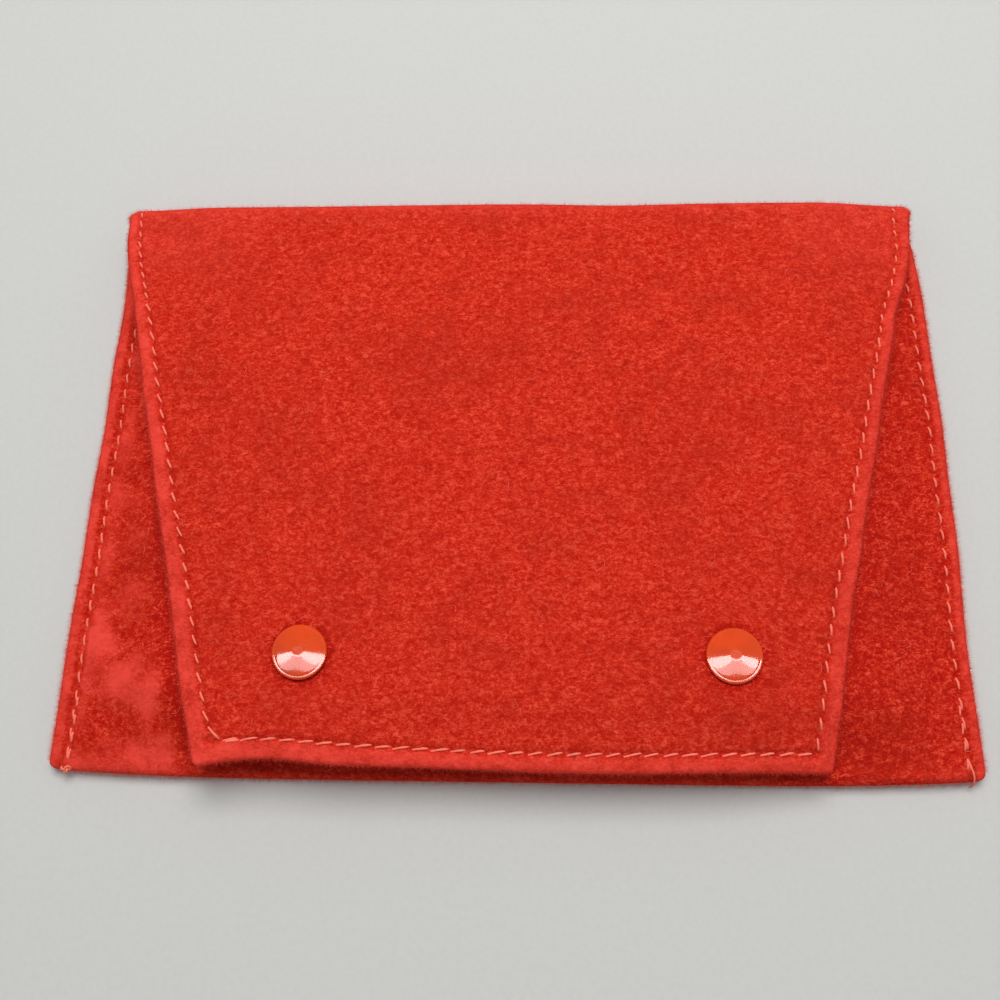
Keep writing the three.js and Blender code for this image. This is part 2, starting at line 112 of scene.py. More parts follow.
class PouchFinishes(PropertyGroup):
    """Colours of the cloth, the thread and the metal"""

    velvet: colour("Velvet", "Velvet with its pile standing", (0.785, 0.165, 0.099))
    velvet_shade: colour("Velvet shade", "Pits between tufts of the pile", (0.66, 0.088, 0.066))
    velvet_tip: colour("Velvet tips", "Tips of the pile", (0.895, 0.32, 0.236))
    # Laid pile, also the painted sheen along the rims and the painted highlight on the fold crests
    velvet_brushed_and_sheen: colour("Brushed velvet", "Velvet with its pile laid flat", (0.9, 0.28, 0.232))
    velvet_sheen: colour("Velvet sheen", "Pile seen along its surface", (1.0, 0.3, 0.26))
    # Partly painted highlight: fibres drawn pale as where they catch the light
    fibre: colour("Fibres", "Single fibres that catch the light", (0.96, 0.50, 0.43))
    lining: colour("Lining", "Plain cloth inside", (0.70, 0.14, 0.10))
    thread: colour("Thread", "Sewing thread", (1.0, 0.51, 0.43))
    enamel: colour("Enamel", "Caps of the snaps", (0.875, 0.26, 0.02))
    nickel: colour("Nickel", "Posts, sockets and studs", (0.80, 0.79, 0.77))
    spring: colour("Spring steel", "Ring springs in the sockets", (0.60, 0.61, 0.63))
    floor: colour("Floor", "Plain floor under the pouch", (0.77, 0.77, 0.76))


# Shape of the cloth


def smooth(t):
    """Even rise from 0 to 1"""
    t = np.clip(t, 0, 1)
    return t * t * (3 - 2 * t)


def hump(distance, middle, spread):
    """1 in the middle, falling to 0 on both sides"""
    return np.exp(-(((distance - middle) / spread) ** 2))


def spot(x, y, middle, spread):
    """Hump at a place on the cloth, whose middle and spread are in millimetres"""
    (middle_x, middle_y), (spread_x, spread_y) = middle, spread
    return hump(x, middle_x * MM, spread_x * MM) * hump(y, middle_y * MM, spread_y * MM)


def ripple(x, y, shortest, longest, seed):
    """Unevenness of handled cloth, from about -1 to 1 and the same on every run"""
    rng = np.random.default_rng(seed)
    total = np.zeros(np.broadcast(x, y).shape)
    for _ in range(10):
        wave = rng.uniform(shortest, longest)
        turn = rng.uniform(0, 2 * math.pi)
        start = rng.uniform(0, 2 * math.pi)
        total += np.sin(2 * math.pi * (x * math.cos(turn) + y * math.sin(turn)) / wave + start)
    return total / 4


class PouchShape:
    """Where the outer faces of the pocket and the flap lie, and how their edges are turned"""

    seam_top = 3.0 * MM
    pocket_rise = 4.4 * MM
    pocket_ramp = 18 * MM
    bottom_ramp = 14 * MM
    bottom_bow = 1.4 * MM
    bottom_corner = 1.1 * MM
    fold_depth = 3.1 * MM
    fold_sink = 2.2 * MM
    fold_corner = 2.2 * MM
    end_sink = 2.2 * MM
    end_run = 22 * MM
    left_droop = 0.6 * MM
    right_droop = 2.3 * MM
    droop_run = 20 * MM
    hem_droop_run = 13 * MM
    mouth_setback = 6 * MM
    mouth_rise = 3.2 * MM
    mouth_corner = 3.0 * MM
    flap_lean = 0.65 * MM
    hem_drop = 0.5 * MM
    hem_bow = 0.8 * MM
    hem_lift = 0.95 * MM
    corner_drop = 0.7 * MM
    hem_run = 7 * MM
    right_seam_shift = 0.6 * MM
    left_row_drift = 1.3 * MM
    right_row_drift = 0.8 * MM
    hem_row_drift = 1.1 * MM
    hem_pitch = 3.36 * MM
    side_row_end = 106.2 * MM
    hem_row_start = -50.4 * MM
    rubbed_middle = (-70 * MM, -42 * MM)

    def __init__(self, sizes):
        self.sizes = sizes
        self.bottom_y = FRONT_LOW.y
        self.fold_y = FOLD_AXIS[1]
        self.flap_top = ROLL_HIGH.z
        self.roll_radius = self.flap_top / 2
        self.end_radius = self.seam_top / 2
        self.mouth_y = self.fold_y - self.mouth_setback
        self.hem_y = FLAP_LOW.y - self.hem_drop
        self.roll_length = math.pi * math.sqrt((self.roll_radius**2 + self.fold_depth**2) / 2)
        self.flap_length = self.fold_y - self.hem_y
        self.back_length = self.fold_y - self.bottom_y - self.end_radius
        self.end_length = math.pi * self.end_radius
        self.front_length = self.mouth_y - self.bottom_y - self.end_radius
        self.front_start = self.back_length + self.end_length
        self.strip_length = self.front_start + self.front_length
        self.hem_row = (self.hem_row_start, self.flap_length - sizes.hem_margin)

    def pocket_edges(self, y):
        """Side edges of the pocket. The left one was cut a little short, the right one bows out."""
        sizes = self.sizes
        up = np.clip((y - self.bottom_y) / (self.fold_y - self.bottom_y), 0, 1)
        half = (sizes.bottom_width + (sizes.top_width - sizes.bottom_width) * up) / 2
        waver = 0.15 * MM * ripple(y, 0 * y, 18 * MM, 60 * MM, 11)
        cut_short = 0.5 * MM * smooth((1 - up) / 0.2)
        bow = 1.0 * MM * smooth((up - 0.15) / 0.3) * smooth((1 - up) / 0.3) - 0.3 * MM * (1 - up)
        rise = np.clip(1 - (y - self.bottom_y) / self.bottom_corner, 0, 1)
        corner = self.bottom_corner * (1 - np.sqrt(1 - rise**2))
        return -half + cut_short + waver + corner, half + bow + waver - corner

    def edges_along(self, p):
        """Side edges of the pocket at p along its strip, where the bottom fold's bow has run out"""
        y = self.pocket_face(np.full_like(p, -self.sizes.bottom_width / 2), p)[0]
        return self.pocket_edges(y)

    def flap_edges(self, q, fold_corner=fold_corner):
        """Side edges of the flap, rounded on the top fold. The right one was cut a little short."""
        sizes = self.sizes
        down = np.clip(q / self.flap_length, 0, 1)
        half = (sizes.top_width + (sizes.hem_width - sizes.top_width) * down) / 2
        middle = self.flap_lean * down
        middle = middle + smooth(down / 0.1) * 0.2 * MM * ripple(q, 0 * q, 16 * MM, 50 * MM, 12)
        round_end = fold_corner * np.sin(math.pi * np.clip(-q / self.roll_length, 0, 1)) ** 2
        left_tuck = 0.65 * MM * (1 - smooth(q / (6 * MM)))
        right_tuck = 0.9 * MM * (1 - smooth(q / (10 * MM)))
        bulge = 0.55 * MM * hump(q, 11 * MM, 7 * MM)
        short = 1.2 * MM * (smooth((q - 15 * MM) / (10 * MM)) - smooth((down - 0.7) / 0.26))
        left = middle - half + left_tuck + round_end - bulge
        return left, middle + half - short - right_tuck - round_end + 0.6 * bulge

    def seam_margin(self, x):
        """From a side edge of the pocket to its stitching, which runs closer to the right edge"""
        return self.sizes.seam_margin - np.where(x > 0, self.right_seam_shift, 0)

    def row_margin(self, x, q):
        """From a side edge of the flap to its stitching, which drifts inwards on its way down"""
        down = np.clip(q / self.flap_length, 0, 1)
        right = self.right_row_drift * (smooth((down - 0.3) / 0.5) + 1 - smooth(q / (10 * MM)))
        return self.sizes.flap_margin + np.where(x < 0, self.left_row_drift * down, right)

    def hem_row_margin(self, x):
        """From the hem to its stitching, which runs closer to the edge away from the left corner"""
        closer = smooth((x - self.hem_row_start) / (48 * MM))
        closer = closer - 0.25 * smooth((x - 35 * MM) / (18 * MM))
        return self.sizes.hem_margin - self.hem_row_drift * closer

    def hem_shift(self, x, q):
        """How much lower the flap hangs along the middle of its hem than by its left corner"""
        low = self.hem_bow * hump(x, 14 * MM, 26 * MM) - self.hem_lift * hump(x, -42 * MM, 8 * MM)
        low = low + self.corner_drop * hump(x, -56 * MM, 4.5 * MM)
        return low * smooth((q - self.flap_length + self.hem_run) / self.hem_run)

    def front_height(self, x, y):
        """Height of the pocket's front, which puffs up inside its seams"""
        left, right = self.pocket_edges(y)
        start = self.sizes.seam_margin + 0.7 * MM
        side = smooth((np.minimum(x - left, right - x) - start) / self.pocket_ramp)
        end = smooth((y - self.bottom_y - self.end_radius) / self.bottom_ramp)
        uneven = 0.22 * MM * ripple(x, y, 22 * MM, 60 * MM, 3) * side
        rise = self.pocket_rise * side * end
        return self.seam_top + rise + uneven + self.front_wrinkles(x, y)

    def rubbed(self, x, y):
        """Where the pile low on the left was rubbed, by the seam and then towards the flap"""
        by_seam = 1.2 * spot(x, y, (-77.3, -36.5), (2.8, 7))
        middle_x, middle_y = self.rubbed_middle
        along = 0.82 * (x - middle_x) - 0.57 * (y - middle_y)
        off = 0.57 * (x - middle_x) + 0.82 * (y - middle_y)
        off = off - 1.2 * MM * np.sin(along / (3.2 * MM))
        low = 0.6 * spot(x, y, (-65, -53), (6, 5))
        return by_seam + spot(along, off, (0, 0), (7.5, 4.2)) + low

    def front_wrinkles(self, x, y):
        """Pleats at the bottom left, the rubbed place and the dent above it"""
        low = hump(y, self.bottom_y, 8 * MM)
        pleats = hump(x, -60 * MM, 1.6 * MM) + hump(x, -54 * MM, 1.3 * MM)
        pleats = pleats - 1.2 * hump(x, -57 * MM, 1.4 * MM)
        dent = spot(x, y, (-70, -27), (6, 9))
        return 0.35 * MM * pleats * low + 0.5 * MM * self.rubbed(x, y) - 0.6 * MM * dent

    def flap_height(self, x, q):
        """Height of the flap, which droops along its sides and its hem"""
        left, right = self.flap_edges(q)
        side = 1 - smooth(np.minimum(x - left, right - x) / self.droop_run)
        across = smooth((x - left) / (right - left))
        droop = self.left_droop + (self.right_droop - self.left_droop) * across
        sides = droop * side * smooth(q / self.droop_run)
        hem = droop * (1 - smooth((self.flap_length - q) / self.hem_droop_run))
        uneven = 0.2 * MM * ripple(x, q, 25 * MM, 70 * MM, 5) * smooth(q / (10 * MM))
        fold = self.fold_height(x)
        return fold + (self.flap_top - fold) * smooth(q / (35 * MM)) - sides - hem + uneven

    def fold_ends(self, x):
        """1 at both ends of the top fold, falling to 0 towards its middle"""
        return 1 - smooth((self.sizes.top_width / 2 - np.abs(x)) / self.end_run)

    def fold_height(self, x):
        """Height of the top fold, which the side seams hold down at its two ends"""
        return self.flap_top - self.fold_sink - self.end_sink * self.fold_ends(x)

    def pocket_face(self, x, p):
        """Outer face of the pocket at p along its strip, down the back and up the front, and the
        direction that leads inwards"""
        past_back = p - self.back_length
        past_end = past_back - self.end_length
        on_back = past_back <= 0
        on_end = (past_back > 0) & (past_end < 0)
        turn = np.clip(past_back / self.end_length, 0, 1) * math.pi - math.pi / 2
        low_y = self.bottom_y + self.end_radius
        away = np.where(on_end, 0, np.maximum(-past_back, past_end))
        bow = 1 - np.clip(np.abs(x) / (self.sizes.bottom_width / 2), 0, 1) ** 5
        bow = self.bottom_bow * bow * (1 - smooth(away / self.end_run))
        drawn_up = 1 + self.mouth_rise / self.front_length * smooth((x - 62 * MM) / (18 * MM))
        flat_y = np.where(on_back, self.fold_y - p, low_y + past_end * drawn_up)
        y = np.where(on_end, low_y - self.end_radius * np.cos(turn), flat_y)
        flat_z = np.where(on_back, 0, self.front_height(x, np.maximum(y, low_y)))
        z = np.where(on_end, self.end_radius * (1 + np.sin(turn)), flat_z)
        in_y = np.where(on_end, np.cos(turn), 0)
        in_z = np.where(on_end, -np.sin(turn), np.where(on_back, 1, -1))
        return y - bow, z, in_y, in_z

    def flap_face(self, x, q):
        """Outer face of the flap at q along its strip, with q below 0 on the top fold, and the
        direction that leads inwards"""
        on_roll = q < 0
        angle = math.pi / 2 + math.pi * np.clip(q / self.roll_length, -1, 0)
        dip = 0.3 * smooth(np.abs(x) / (50 * MM)) + 0.7 * hump(x, 21 * MM, 13 * MM)
        left_end = np.where(x < 0, 0.6, 0.0) * self.fold_ends(x)
        depth = self.fold_depth + (left_end - dip) * MM
        flat_y = self.fold_y - q - self.hem_shift(x, q)
        y = np.where(on_roll, self.fold_y + depth * np.cos(angle), flat_y)
        roll_z = self.fold_height(x) / 2 * (1 + np.sin(angle))
        z = np.where(on_roll, roll_z, self.flap_height(x, np.maximum(q, 0)))
        in_y = np.where(on_roll, -np.cos(angle), 0)
        in_z = np.where(on_roll, -np.sin(angle), -1)
        return y, z, in_y, in_z

    def edge_relief(self, from_edge, along, margin):
        """How far a sewn edge stands out: its puffed bead, the valley of the stitching and the
        shoulder behind it"""
        sizes = self.sizes
        hole = 0.5 + 0.5 * np.cos(2 * math.pi * along / sizes.stitch_pitch)
        bead = sizes.bead * hump(from_edge, 0.47 * margin, 0.3 * margin)
        valley = sizes.valley * (0.7 + 0.5 * hole) * hump(from_edge, margin, 0.55 * MM)
        behind = hump(from_edge, margin + 1.8 * MM, 1.3 * MM)
        return bead - valley + 0.6 * sizes.bead * (1 - 0.4 * hole) * behind

    def pocket_relief(self, from_side, x, p):
        """How far the pocket's velvet stands out, flat on its back and round the bottom fold"""
        on_front = p > self.back_length
        along = np.where(on_front, p - self.front_start, self.back_length - p)
        sewn = self.edge_relief(from_side, along, self.seam_margin(x))
        middle = self.back_length + self.end_length / 2
        flat = smooth((np.abs(p - middle) - self.end_length / 2) / (2 * MM))
        on_back = 1 - smooth((p - self.back_length) / self.end_length)
        return sewn * flat - self.sizes.bead * on_back

    def flap_relief(self, from_side, from_hem, x, q):
        """How far the flap's velvet stands out, with its stitching starting past the top fold"""
        side = self.edge_relief(from_side, q, self.row_margin(x, q))
        along_hem = (x - self.hem_row_start) * self.sizes.stitch_pitch / self.hem_pitch
        hem = self.edge_relief(from_hem, along_hem, self.hem_row_margin(x))
        by_side = smooth((from_hem - 1.5 * MM) / (2.6 * MM))
        by_hem = smooth((from_side - 1.2 * MM) / (2.2 * MM))
        on_back = 1 - smooth((q + self.roll_length) / (0.5 * self.roll_length))
        past_fold = smooth((q + 4 * MM) / (6 * MM))
        return side * by_side * past_fold + hem * by_hem - self.sizes.bead * on_back

    def on_pocket(self, x, p, lift=0):
        """Points on the velvet of the pocket, lifted along its outward direction"""
        y, z, in_y, in_z = self.pocket_face(x, p)
        left, right = self.pocket_edges(y)
        out = self.pocket_relief(np.minimum(x - left, right - x), x, p) + lift
        return np.stack([x, y - in_y * out, z - in_z * out], -1)

    def on_flap(self, x, q, lift=0):
        """Points on the velvet of the flap, lifted along its outward direction"""
        y, z, in_y, in_z = self.flap_face(x, q)
        left, right = self.flap_edges(q)
        from_side = np.minimum(x - left, right - x)
        out = self.flap_relief(from_side, self.flap_length - q, x, q) + lift
        return np.stack([x, y - in_y * out, z - in_z * out], -1)


# Meshes

EDGE_STEPS = np.array(
    [0, 0.03, 0.1, 0.22, 0.38, 0.56, 0.75, 1.0, 1.3, 1.65, 2.0, 2.35, 2.7, 2.95, 3.15, 3.35, 3.5]
    + [3.65, 3.8, 4.0, 4.2, 4.4, 4.55, 4.7, 4.9, 5.15, 5.5, 6.0, 6.6, 7.3, 8.2]
) * MM
LINING_STEPS = np.array([0, 0.1, 0.25, 0.6, 1.2, 2.0, 3.0, 5.0]) * MM
LINING_INSET = 1.6 * MM
ROW_SPACING = 0.75 * MM


def strip_grid(rows, left, right, steps, spacing):
    """Across each row: fixed steps in from both edges and an even field between them"""
    count = max(2, int(np.mean(right - left - 2 * steps[-1]) / spacing))
    inner = np.linspace(0, 1, count + 2)[1:-1]
    left, right = left[:, None], right[:, None]
    low, high = left + steps[-1], right - steps[-1]
    x = np.concatenate([left + steps, low + (high - low) * inner, right - steps[::-1]], axis=1)
    return x, np.broadcast_to(rows[:, None], x.shape).copy()


def round_corners(from_side, from_end, radius):
    """Bends a square grid round a corner, keeping each line at its distance from the edge"""
    a = np.clip(radius - from_side, 0, None)
    b = np.clip(radius - from_end, 0, None)
    both = (a > 0) & (b > 0)
    scale = np.where(both, np.maximum(a, b) / np.maximum(np.hypot(a, b), 1e-12), 1)
    side = np.where(both, radius - a * scale, from_side)
    return side, np.where(both, radius - b * scale, from_end)


def rounded(from_edge, half):
    """Half the thickness of a sheet that ends in a half circle"""
    inside = np.clip(from_edge / half, 0, 1)
    return half * np.sqrt(1 - (1 - inside) ** 2)


def turned_depths(sizes, edge, relief):
    """How deep both faces of the velvet lie, with its edge turned round the lining"""
    half = sizes.turned_edge / 2
    outer = half - rounded(edge, half) - relief * smooth(edge / (0.8 * MM))
    lip = 1 - smooth((edge - 1.2 * MM) / (0.4 * MM))
    inner = sizes.velvet + (sizes.turned_edge - sizes.velvet) * lip
    return outer, np.where(edge < half, half + rounded(edge, half), inner)


def sheet_faces(welded, flip):
    """Quads of a closed sheet whose two faces share their welded points"""
    rows, columns = welded.shape
    upper = np.arange(rows * columns).reshape(rows, columns)
    lower = upper.copy()
    lower[~welded] = rows * columns + np.arange(np.count_nonzero(~welded))

    def quads(index):
        corners = [index[:-1, :-1], index[:-1, 1:], index[1:, 1:], index[1:, :-1]]
        return np.stack(corners, -1).reshape(-1, 4)

    faces = quads(upper).tolist() + quads(lower)[:, ::-1].tolist()
    top, under = upper[0][::-1], lower[0][::-1]
    for i in range(columns - 1):
        wall = [top[i], top[i + 1], under[i + 1], under[i]]
        faces.append([int(v) for n, v in enumerate(wall) if v != wall[n - 1]])
    return [face[::-1] for face in faces] if flip else faces


def new_piece(name, points, faces, finish, values=None):
    mesh = bpy.data.meshes.new(name)
    mesh.from_pydata(np.asarray(points).tolist(), [], faces)
    mesh.polygons.foreach_set("use_smooth", [True] * len(mesh.polygons))
    for key, value in (values or {}).items():
        kind, field = ("FLOAT_VECTOR", "vector") if value.ndim == 2 else ("FLOAT", "value")
        attribute = mesh.attributes.new(key, kind, "POINT")
        attribute.data.foreach_set(field, value.astype(np.float32).ravel())
    mesh.materials.append(finish)
    mesh.validate()
    piece = bpy.data.objects.new(name, mesh)
    bpy.context.scene.collection.objects.link(piece)
    return piece


def closed_sheet(name, place, face, depths, flip, finish, middle=0, nap=None):
    """Sheet between two depths below a face, whose sides hang together along all but its first
    row. place holds x and the way along the cloth, which its pattern follows."""
    x, along = place
    y, z, in_y, in_z = face
    welded = np.zeros(x.shape, bool)
    welded[:, [0, -1]] = True
    welded[-1] = True
    loose = ~welded
    top, below = (np.stack([x, y + in_y * depth, z + in_z * depth], -1) for depth in depths)
    outer, inner = (np.stack([x, along, depth - middle], -1) for depth in depths)
    values = {"cloth": np.concatenate([outer.reshape(-1, 3), inner[loose]])}
    if nap is not None:
        values["nap"] = np.concatenate([nap.ravel(), nap[loose]])
    points = np.concatenate([top.reshape(-1, 3), below[loose]])
    return new_piece(name, points, sheet_faces(welded, flip), finish, values)


def lining_sheet(context, name, sizes, rows, edges, end, face, flip, apart=0):
    """Lining set in from the edges of the velvet, on the inner side of its turned edge"""
    left, right = edges
    x, along = strip_grid(rows, left + LINING_INSET, right - LINING_INSET, LINING_STEPS, 3.0 * MM)
    middle = sizes.turned_edge - sizes.lining / 2
    from_side = np.minimum(x - left[:, None], right[:, None] - x) - LINING_INSET
    edge = np.minimum(from_side, end - LINING_INSET - along)
    thick = rounded(edge, sizes.lining / 2 * 0.95)
    depths = (middle - thick, middle + thick)
    finish = finish_of(context, "lining")
    return closed_sheet(name, (x, along + apart), face(x, along), depths, flip, finish, middle)


def tube(points, outward, radius, sides=8, plies=0.0):
    """Thread along points, as points and faces. plies is how far its two strands swell out."""
    ahead = np.gradient(points, axis=0)
    ahead /= np.linalg.norm(ahead, axis=1, keepdims=True)
    side = np.cross(ahead, outward)
    side /= np.linalg.norm(side, axis=1, keepdims=True)
    up = np.cross(side, ahead)
    count = len(points)
    turn = np.linspace(0, 2 * math.pi, sides, endpoint=False)
    twist = np.linspace(0, 3 * math.pi, count)[:, None]
    reach = (radius[:, None] * (1 + plies * np.cos(2 * turn[None, :] - twist)))[..., None]
    ring = side[:, None] * np.cos(turn)[None, :, None] + up[:, None] * np.sin(turn)[None, :, None]
    rings = (points[:, None] + reach * ring).reshape(-1, 3)
    faces = []
    for i in range(count - 1):
        for j in range(sides):
            a, b = i * sides + j, i * sides + (j + 1) % sides
            faces.append([a, b, b + sides, a + sides])
    faces.append(list(range(sides))[::-1])
    faces.append([(count - 1) * sides + j for j in range(sides)])
    return rings, faces


def fibres(roots, ahead, reach, radius):
    """Single fibres of the pile that stand on the cloth, as thin closed cones"""
    ahead = ahead / np.linalg.norm(ahead, axis=1, keepdims=True)
    side = np.cross(ahead, np.where(np.abs(ahead[:, 2:]) < 0.9, [[0, 0, 1.0]], [[1.0, 0, 0]]))
    side /= np.linalg.norm(side, axis=1, keepdims=True)
    up = np.cross(ahead, side)
    turn = np.arange(3)[:, None] * 2 * math.pi / 3
    foot = roots[:, None] + radius * (side[:, None] * np.cos(turn) + up[:, None] * np.sin(turn))
    points = np.concatenate([foot, (roots + ahead * reach[:, None])[:, None]], axis=1)
    corners = np.array([[0, 1, 3], [1, 2, 3], [2, 0, 3], [2, 1, 0]])
    faces = corners + 4 * np.arange(len(roots))[:, None, None]
    return points.reshape(-1, 3), faces.reshape(-1, 3).tolist()


def standing(sizes, roots, ahead, rng):
    """Fibres that point ahead from their roots, each a little astray and most of them short"""
    ahead = ahead + rng.normal(0, 0.35, ahead.shape)
    reach = sizes.fibre_length * rng.uniform(0.3, 1.0, len(roots)) ** 1.5
    return fibres(roots, ahead, reach, sizes.fibre_radius)


def fringe(sizes, x, along, out, face, rng):
    """Fibres round a turned edge. out is the direction in the plane that leads off the cloth."""
    lean = rng.uniform(-0.4, 1.3, len(x))
    half = sizes.turned_edge / 2
    inset = half * (1 - np.cos(lean))
    depth = half * (1 - np.sin(lean))
    x, along = x - out[0] * inset, along + out[1] * inset
    y, z, in_y, in_z = face(x, along)
    roots = np.stack([x, y + in_y * depth, z + in_z * depth], -1)
    sideways = np.array([*out, 0]) * np.cos(lean)[:, None]
    outward = np.stack([0 * in_y, -in_y, -in_z], -1) * np.sin(lean)[:, None]
    return standing(sizes, roots, sideways + outward, rng)


def crest(sizes, x, along, face, rng):
    """Fibres on a fold"""
    y, z, in_y, in_z = face(x, along)
    outward = np.stack([0 * in_y, -in_y, -in_z], -1)
    return standing(sizes, np.stack([x, y, z], -1), outward, rng)


def strand(sizes, x, along, surface, rng):
    """A loose fibre that lies on the pile in a curl"""
    t = np.linspace(0, 1, 9)
    size = rng.uniform(0.7, 3.4) * MM
    heading = rng.uniform(0, 2 * math.pi) + rng.uniform(-2.4, 2.4) * t
    heading = heading + rng.uniform(-1, 1) * np.sin(5 * t)
    x = x + np.cumsum(np.cos(heading)) * size / len(t)
    along = along + np.cumsum(np.sin(heading)) * size / len(t)
    lift = 0.06 * MM + 0.25 * MM * rng.uniform(0, 1) * np.sin(math.pi * t)
    points = surface(x, along, lift)
    outward = surface(x, along, lift + 0.1 * MM) - points
    return tube(points, outward, 2.4 * sizes.fibre_radius * (1 - 0.5 * t), sides=4)


LOOSE_NAP = 1.9


def pile_piece(context, name, parts, naps, loose):
    """Standing and loose fibres as one piece above the floor, each part shaded by its own nap"""
    points, faces = joined(parts + loose)
    points[:, 2] = np.maximum(points[:, 2], 0.02 * MM)
    naps = naps + [LOOSE_NAP] * len(loose)
    nap = [np.full(len(part[0]), value) for part, value in zip(parts + loose, naps)]
    values = {"cloth": points * np.array([1, 1, 0]), "nap": np.concatenate(nap)}
    return new_piece(name, points, faces, finish_of(context, "velvet"), values)


def joined(parts):
    """Points and faces of several parts, as those of one"""
    points, faces, start = [], [], 0
    for part_points, part_faces in parts:
        points.append(part_points)
        faces += [[start + v for v in face] for face in part_faces]
        start += len(part_points)
    return np.concatenate(points), faces


# Finishes


class Finish:
    """A node material that is put together step by step"""

    def __init__(self, name, sockets):
        self.material = bpy.data.materials.new(name)
        self.material.use_nodes = True
        self.tree = self.material.node_tree
        self.shader = self.tree.nodes["Principled BSDF"]
        self.put(self.shader, sockets)

    def put(self, node, sockets):
        for key, value in sockets.items():
            socket = node.inputs[key]
            if isinstance(value, bpy.types.NodeSocket):
                self.tree.links.new(value, socket)
            else:
                socket.default_value = value

    def add(self, kind, sockets, **settings):
        node = self.tree.nodes.new(kind)
        for key, value in settings.items():
            setattr(node, key, value)
        self.put(node, sockets)
        return node

    def math(self, operation, a, b=0.0, clamp=False):
        settings = {"operation": operation, "use_clamp": clamp}
        return self.add("ShaderNodeMath", {0: a, 1: b}, **settings).outputs[0]

    def times(self, a, b, clamp=False):
        return self.math("MULTIPLY", a, b, clamp)

    def minus(self, a, b):
        return self.math("SUBTRACT", a, b)

    def weigh(self, *parts, start=0.0):
        """Sum of values, each times its weight"""
        total = start
        for value, weight in parts:
            total = self.math("ADD", self.times(value, weight), total)
        return total

    def noise(self, place, scale, detail=2.0, roughness=0.5, distortion=0.0):
        values = {"Vector": place, "Scale": scale, "Detail": detail}
        values |= {"Roughness": roughness, "Distortion": distortion}
        return self.add("ShaderNodeTexNoise", values).outputs["Fac"]

    def attribute(self, name, output):
        settings = {"attribute_name": name, "attribute_type": "GEOMETRY"}
        return self.add("ShaderNodeAttribute", {}, **settings).outputs[output]

    def cloth_millimetres(self):
        values = {0: self.attribute("cloth", "Vector"), "Scale": 1 / MM}
        return self.add("ShaderNodeVectorMath", values, operation="SCALE").outputs[0]

    def place(self):
        return self.add("ShaderNodeTexCoord", {}).outputs["Object"]

    def ramp(self, value, stops):
        """Colours that follow a value, each stop a position and a shade"""
        node = self.add("ShaderNodeValToRGB", {"Fac": value})
        elements = node.color_ramp.elements
        while len(elements) < len(stops):
            elements.new(0.5)
        for element, (position, shade) in zip(elements, stops):
            element.position = position
            element.color = paint(shade)
        return node.outputs["Color"]

    def mix(self, amount, a, b):
        sockets = {0: amount, 6: a, 7: b}
        return self.add("ShaderNodeMix", sockets, data_type="RGBA").outputs[2]

    def two_tone(self, tone, shade, share, low, high):
        """Colour that falls to a share of itself where the tone is low"""
        stops = [(low, [c * share for c in shade]), (high, shade)]
        self.put(self.shader, {"Base Color": self.ramp(tone, stops)})

    def bump(self, height, strength, distance):
        values = {"Height": height, "Strength": strength, "Distance": distance}
        self.put(self.shader, {"Normal": self.add("ShaderNodeBump", values).outputs["Normal"]})


def paint(shade):
    """A colour as it looks on screen, as the shader takes it"""
    linear = [c / 12.92 if c <= 0.04045 else ((c + 0.055) / 1.055) ** 2.4 for c in shade]
    return (*linear, 1.0)


FLAT_MOST = 1.4
SINGLE_FROM = 1.5


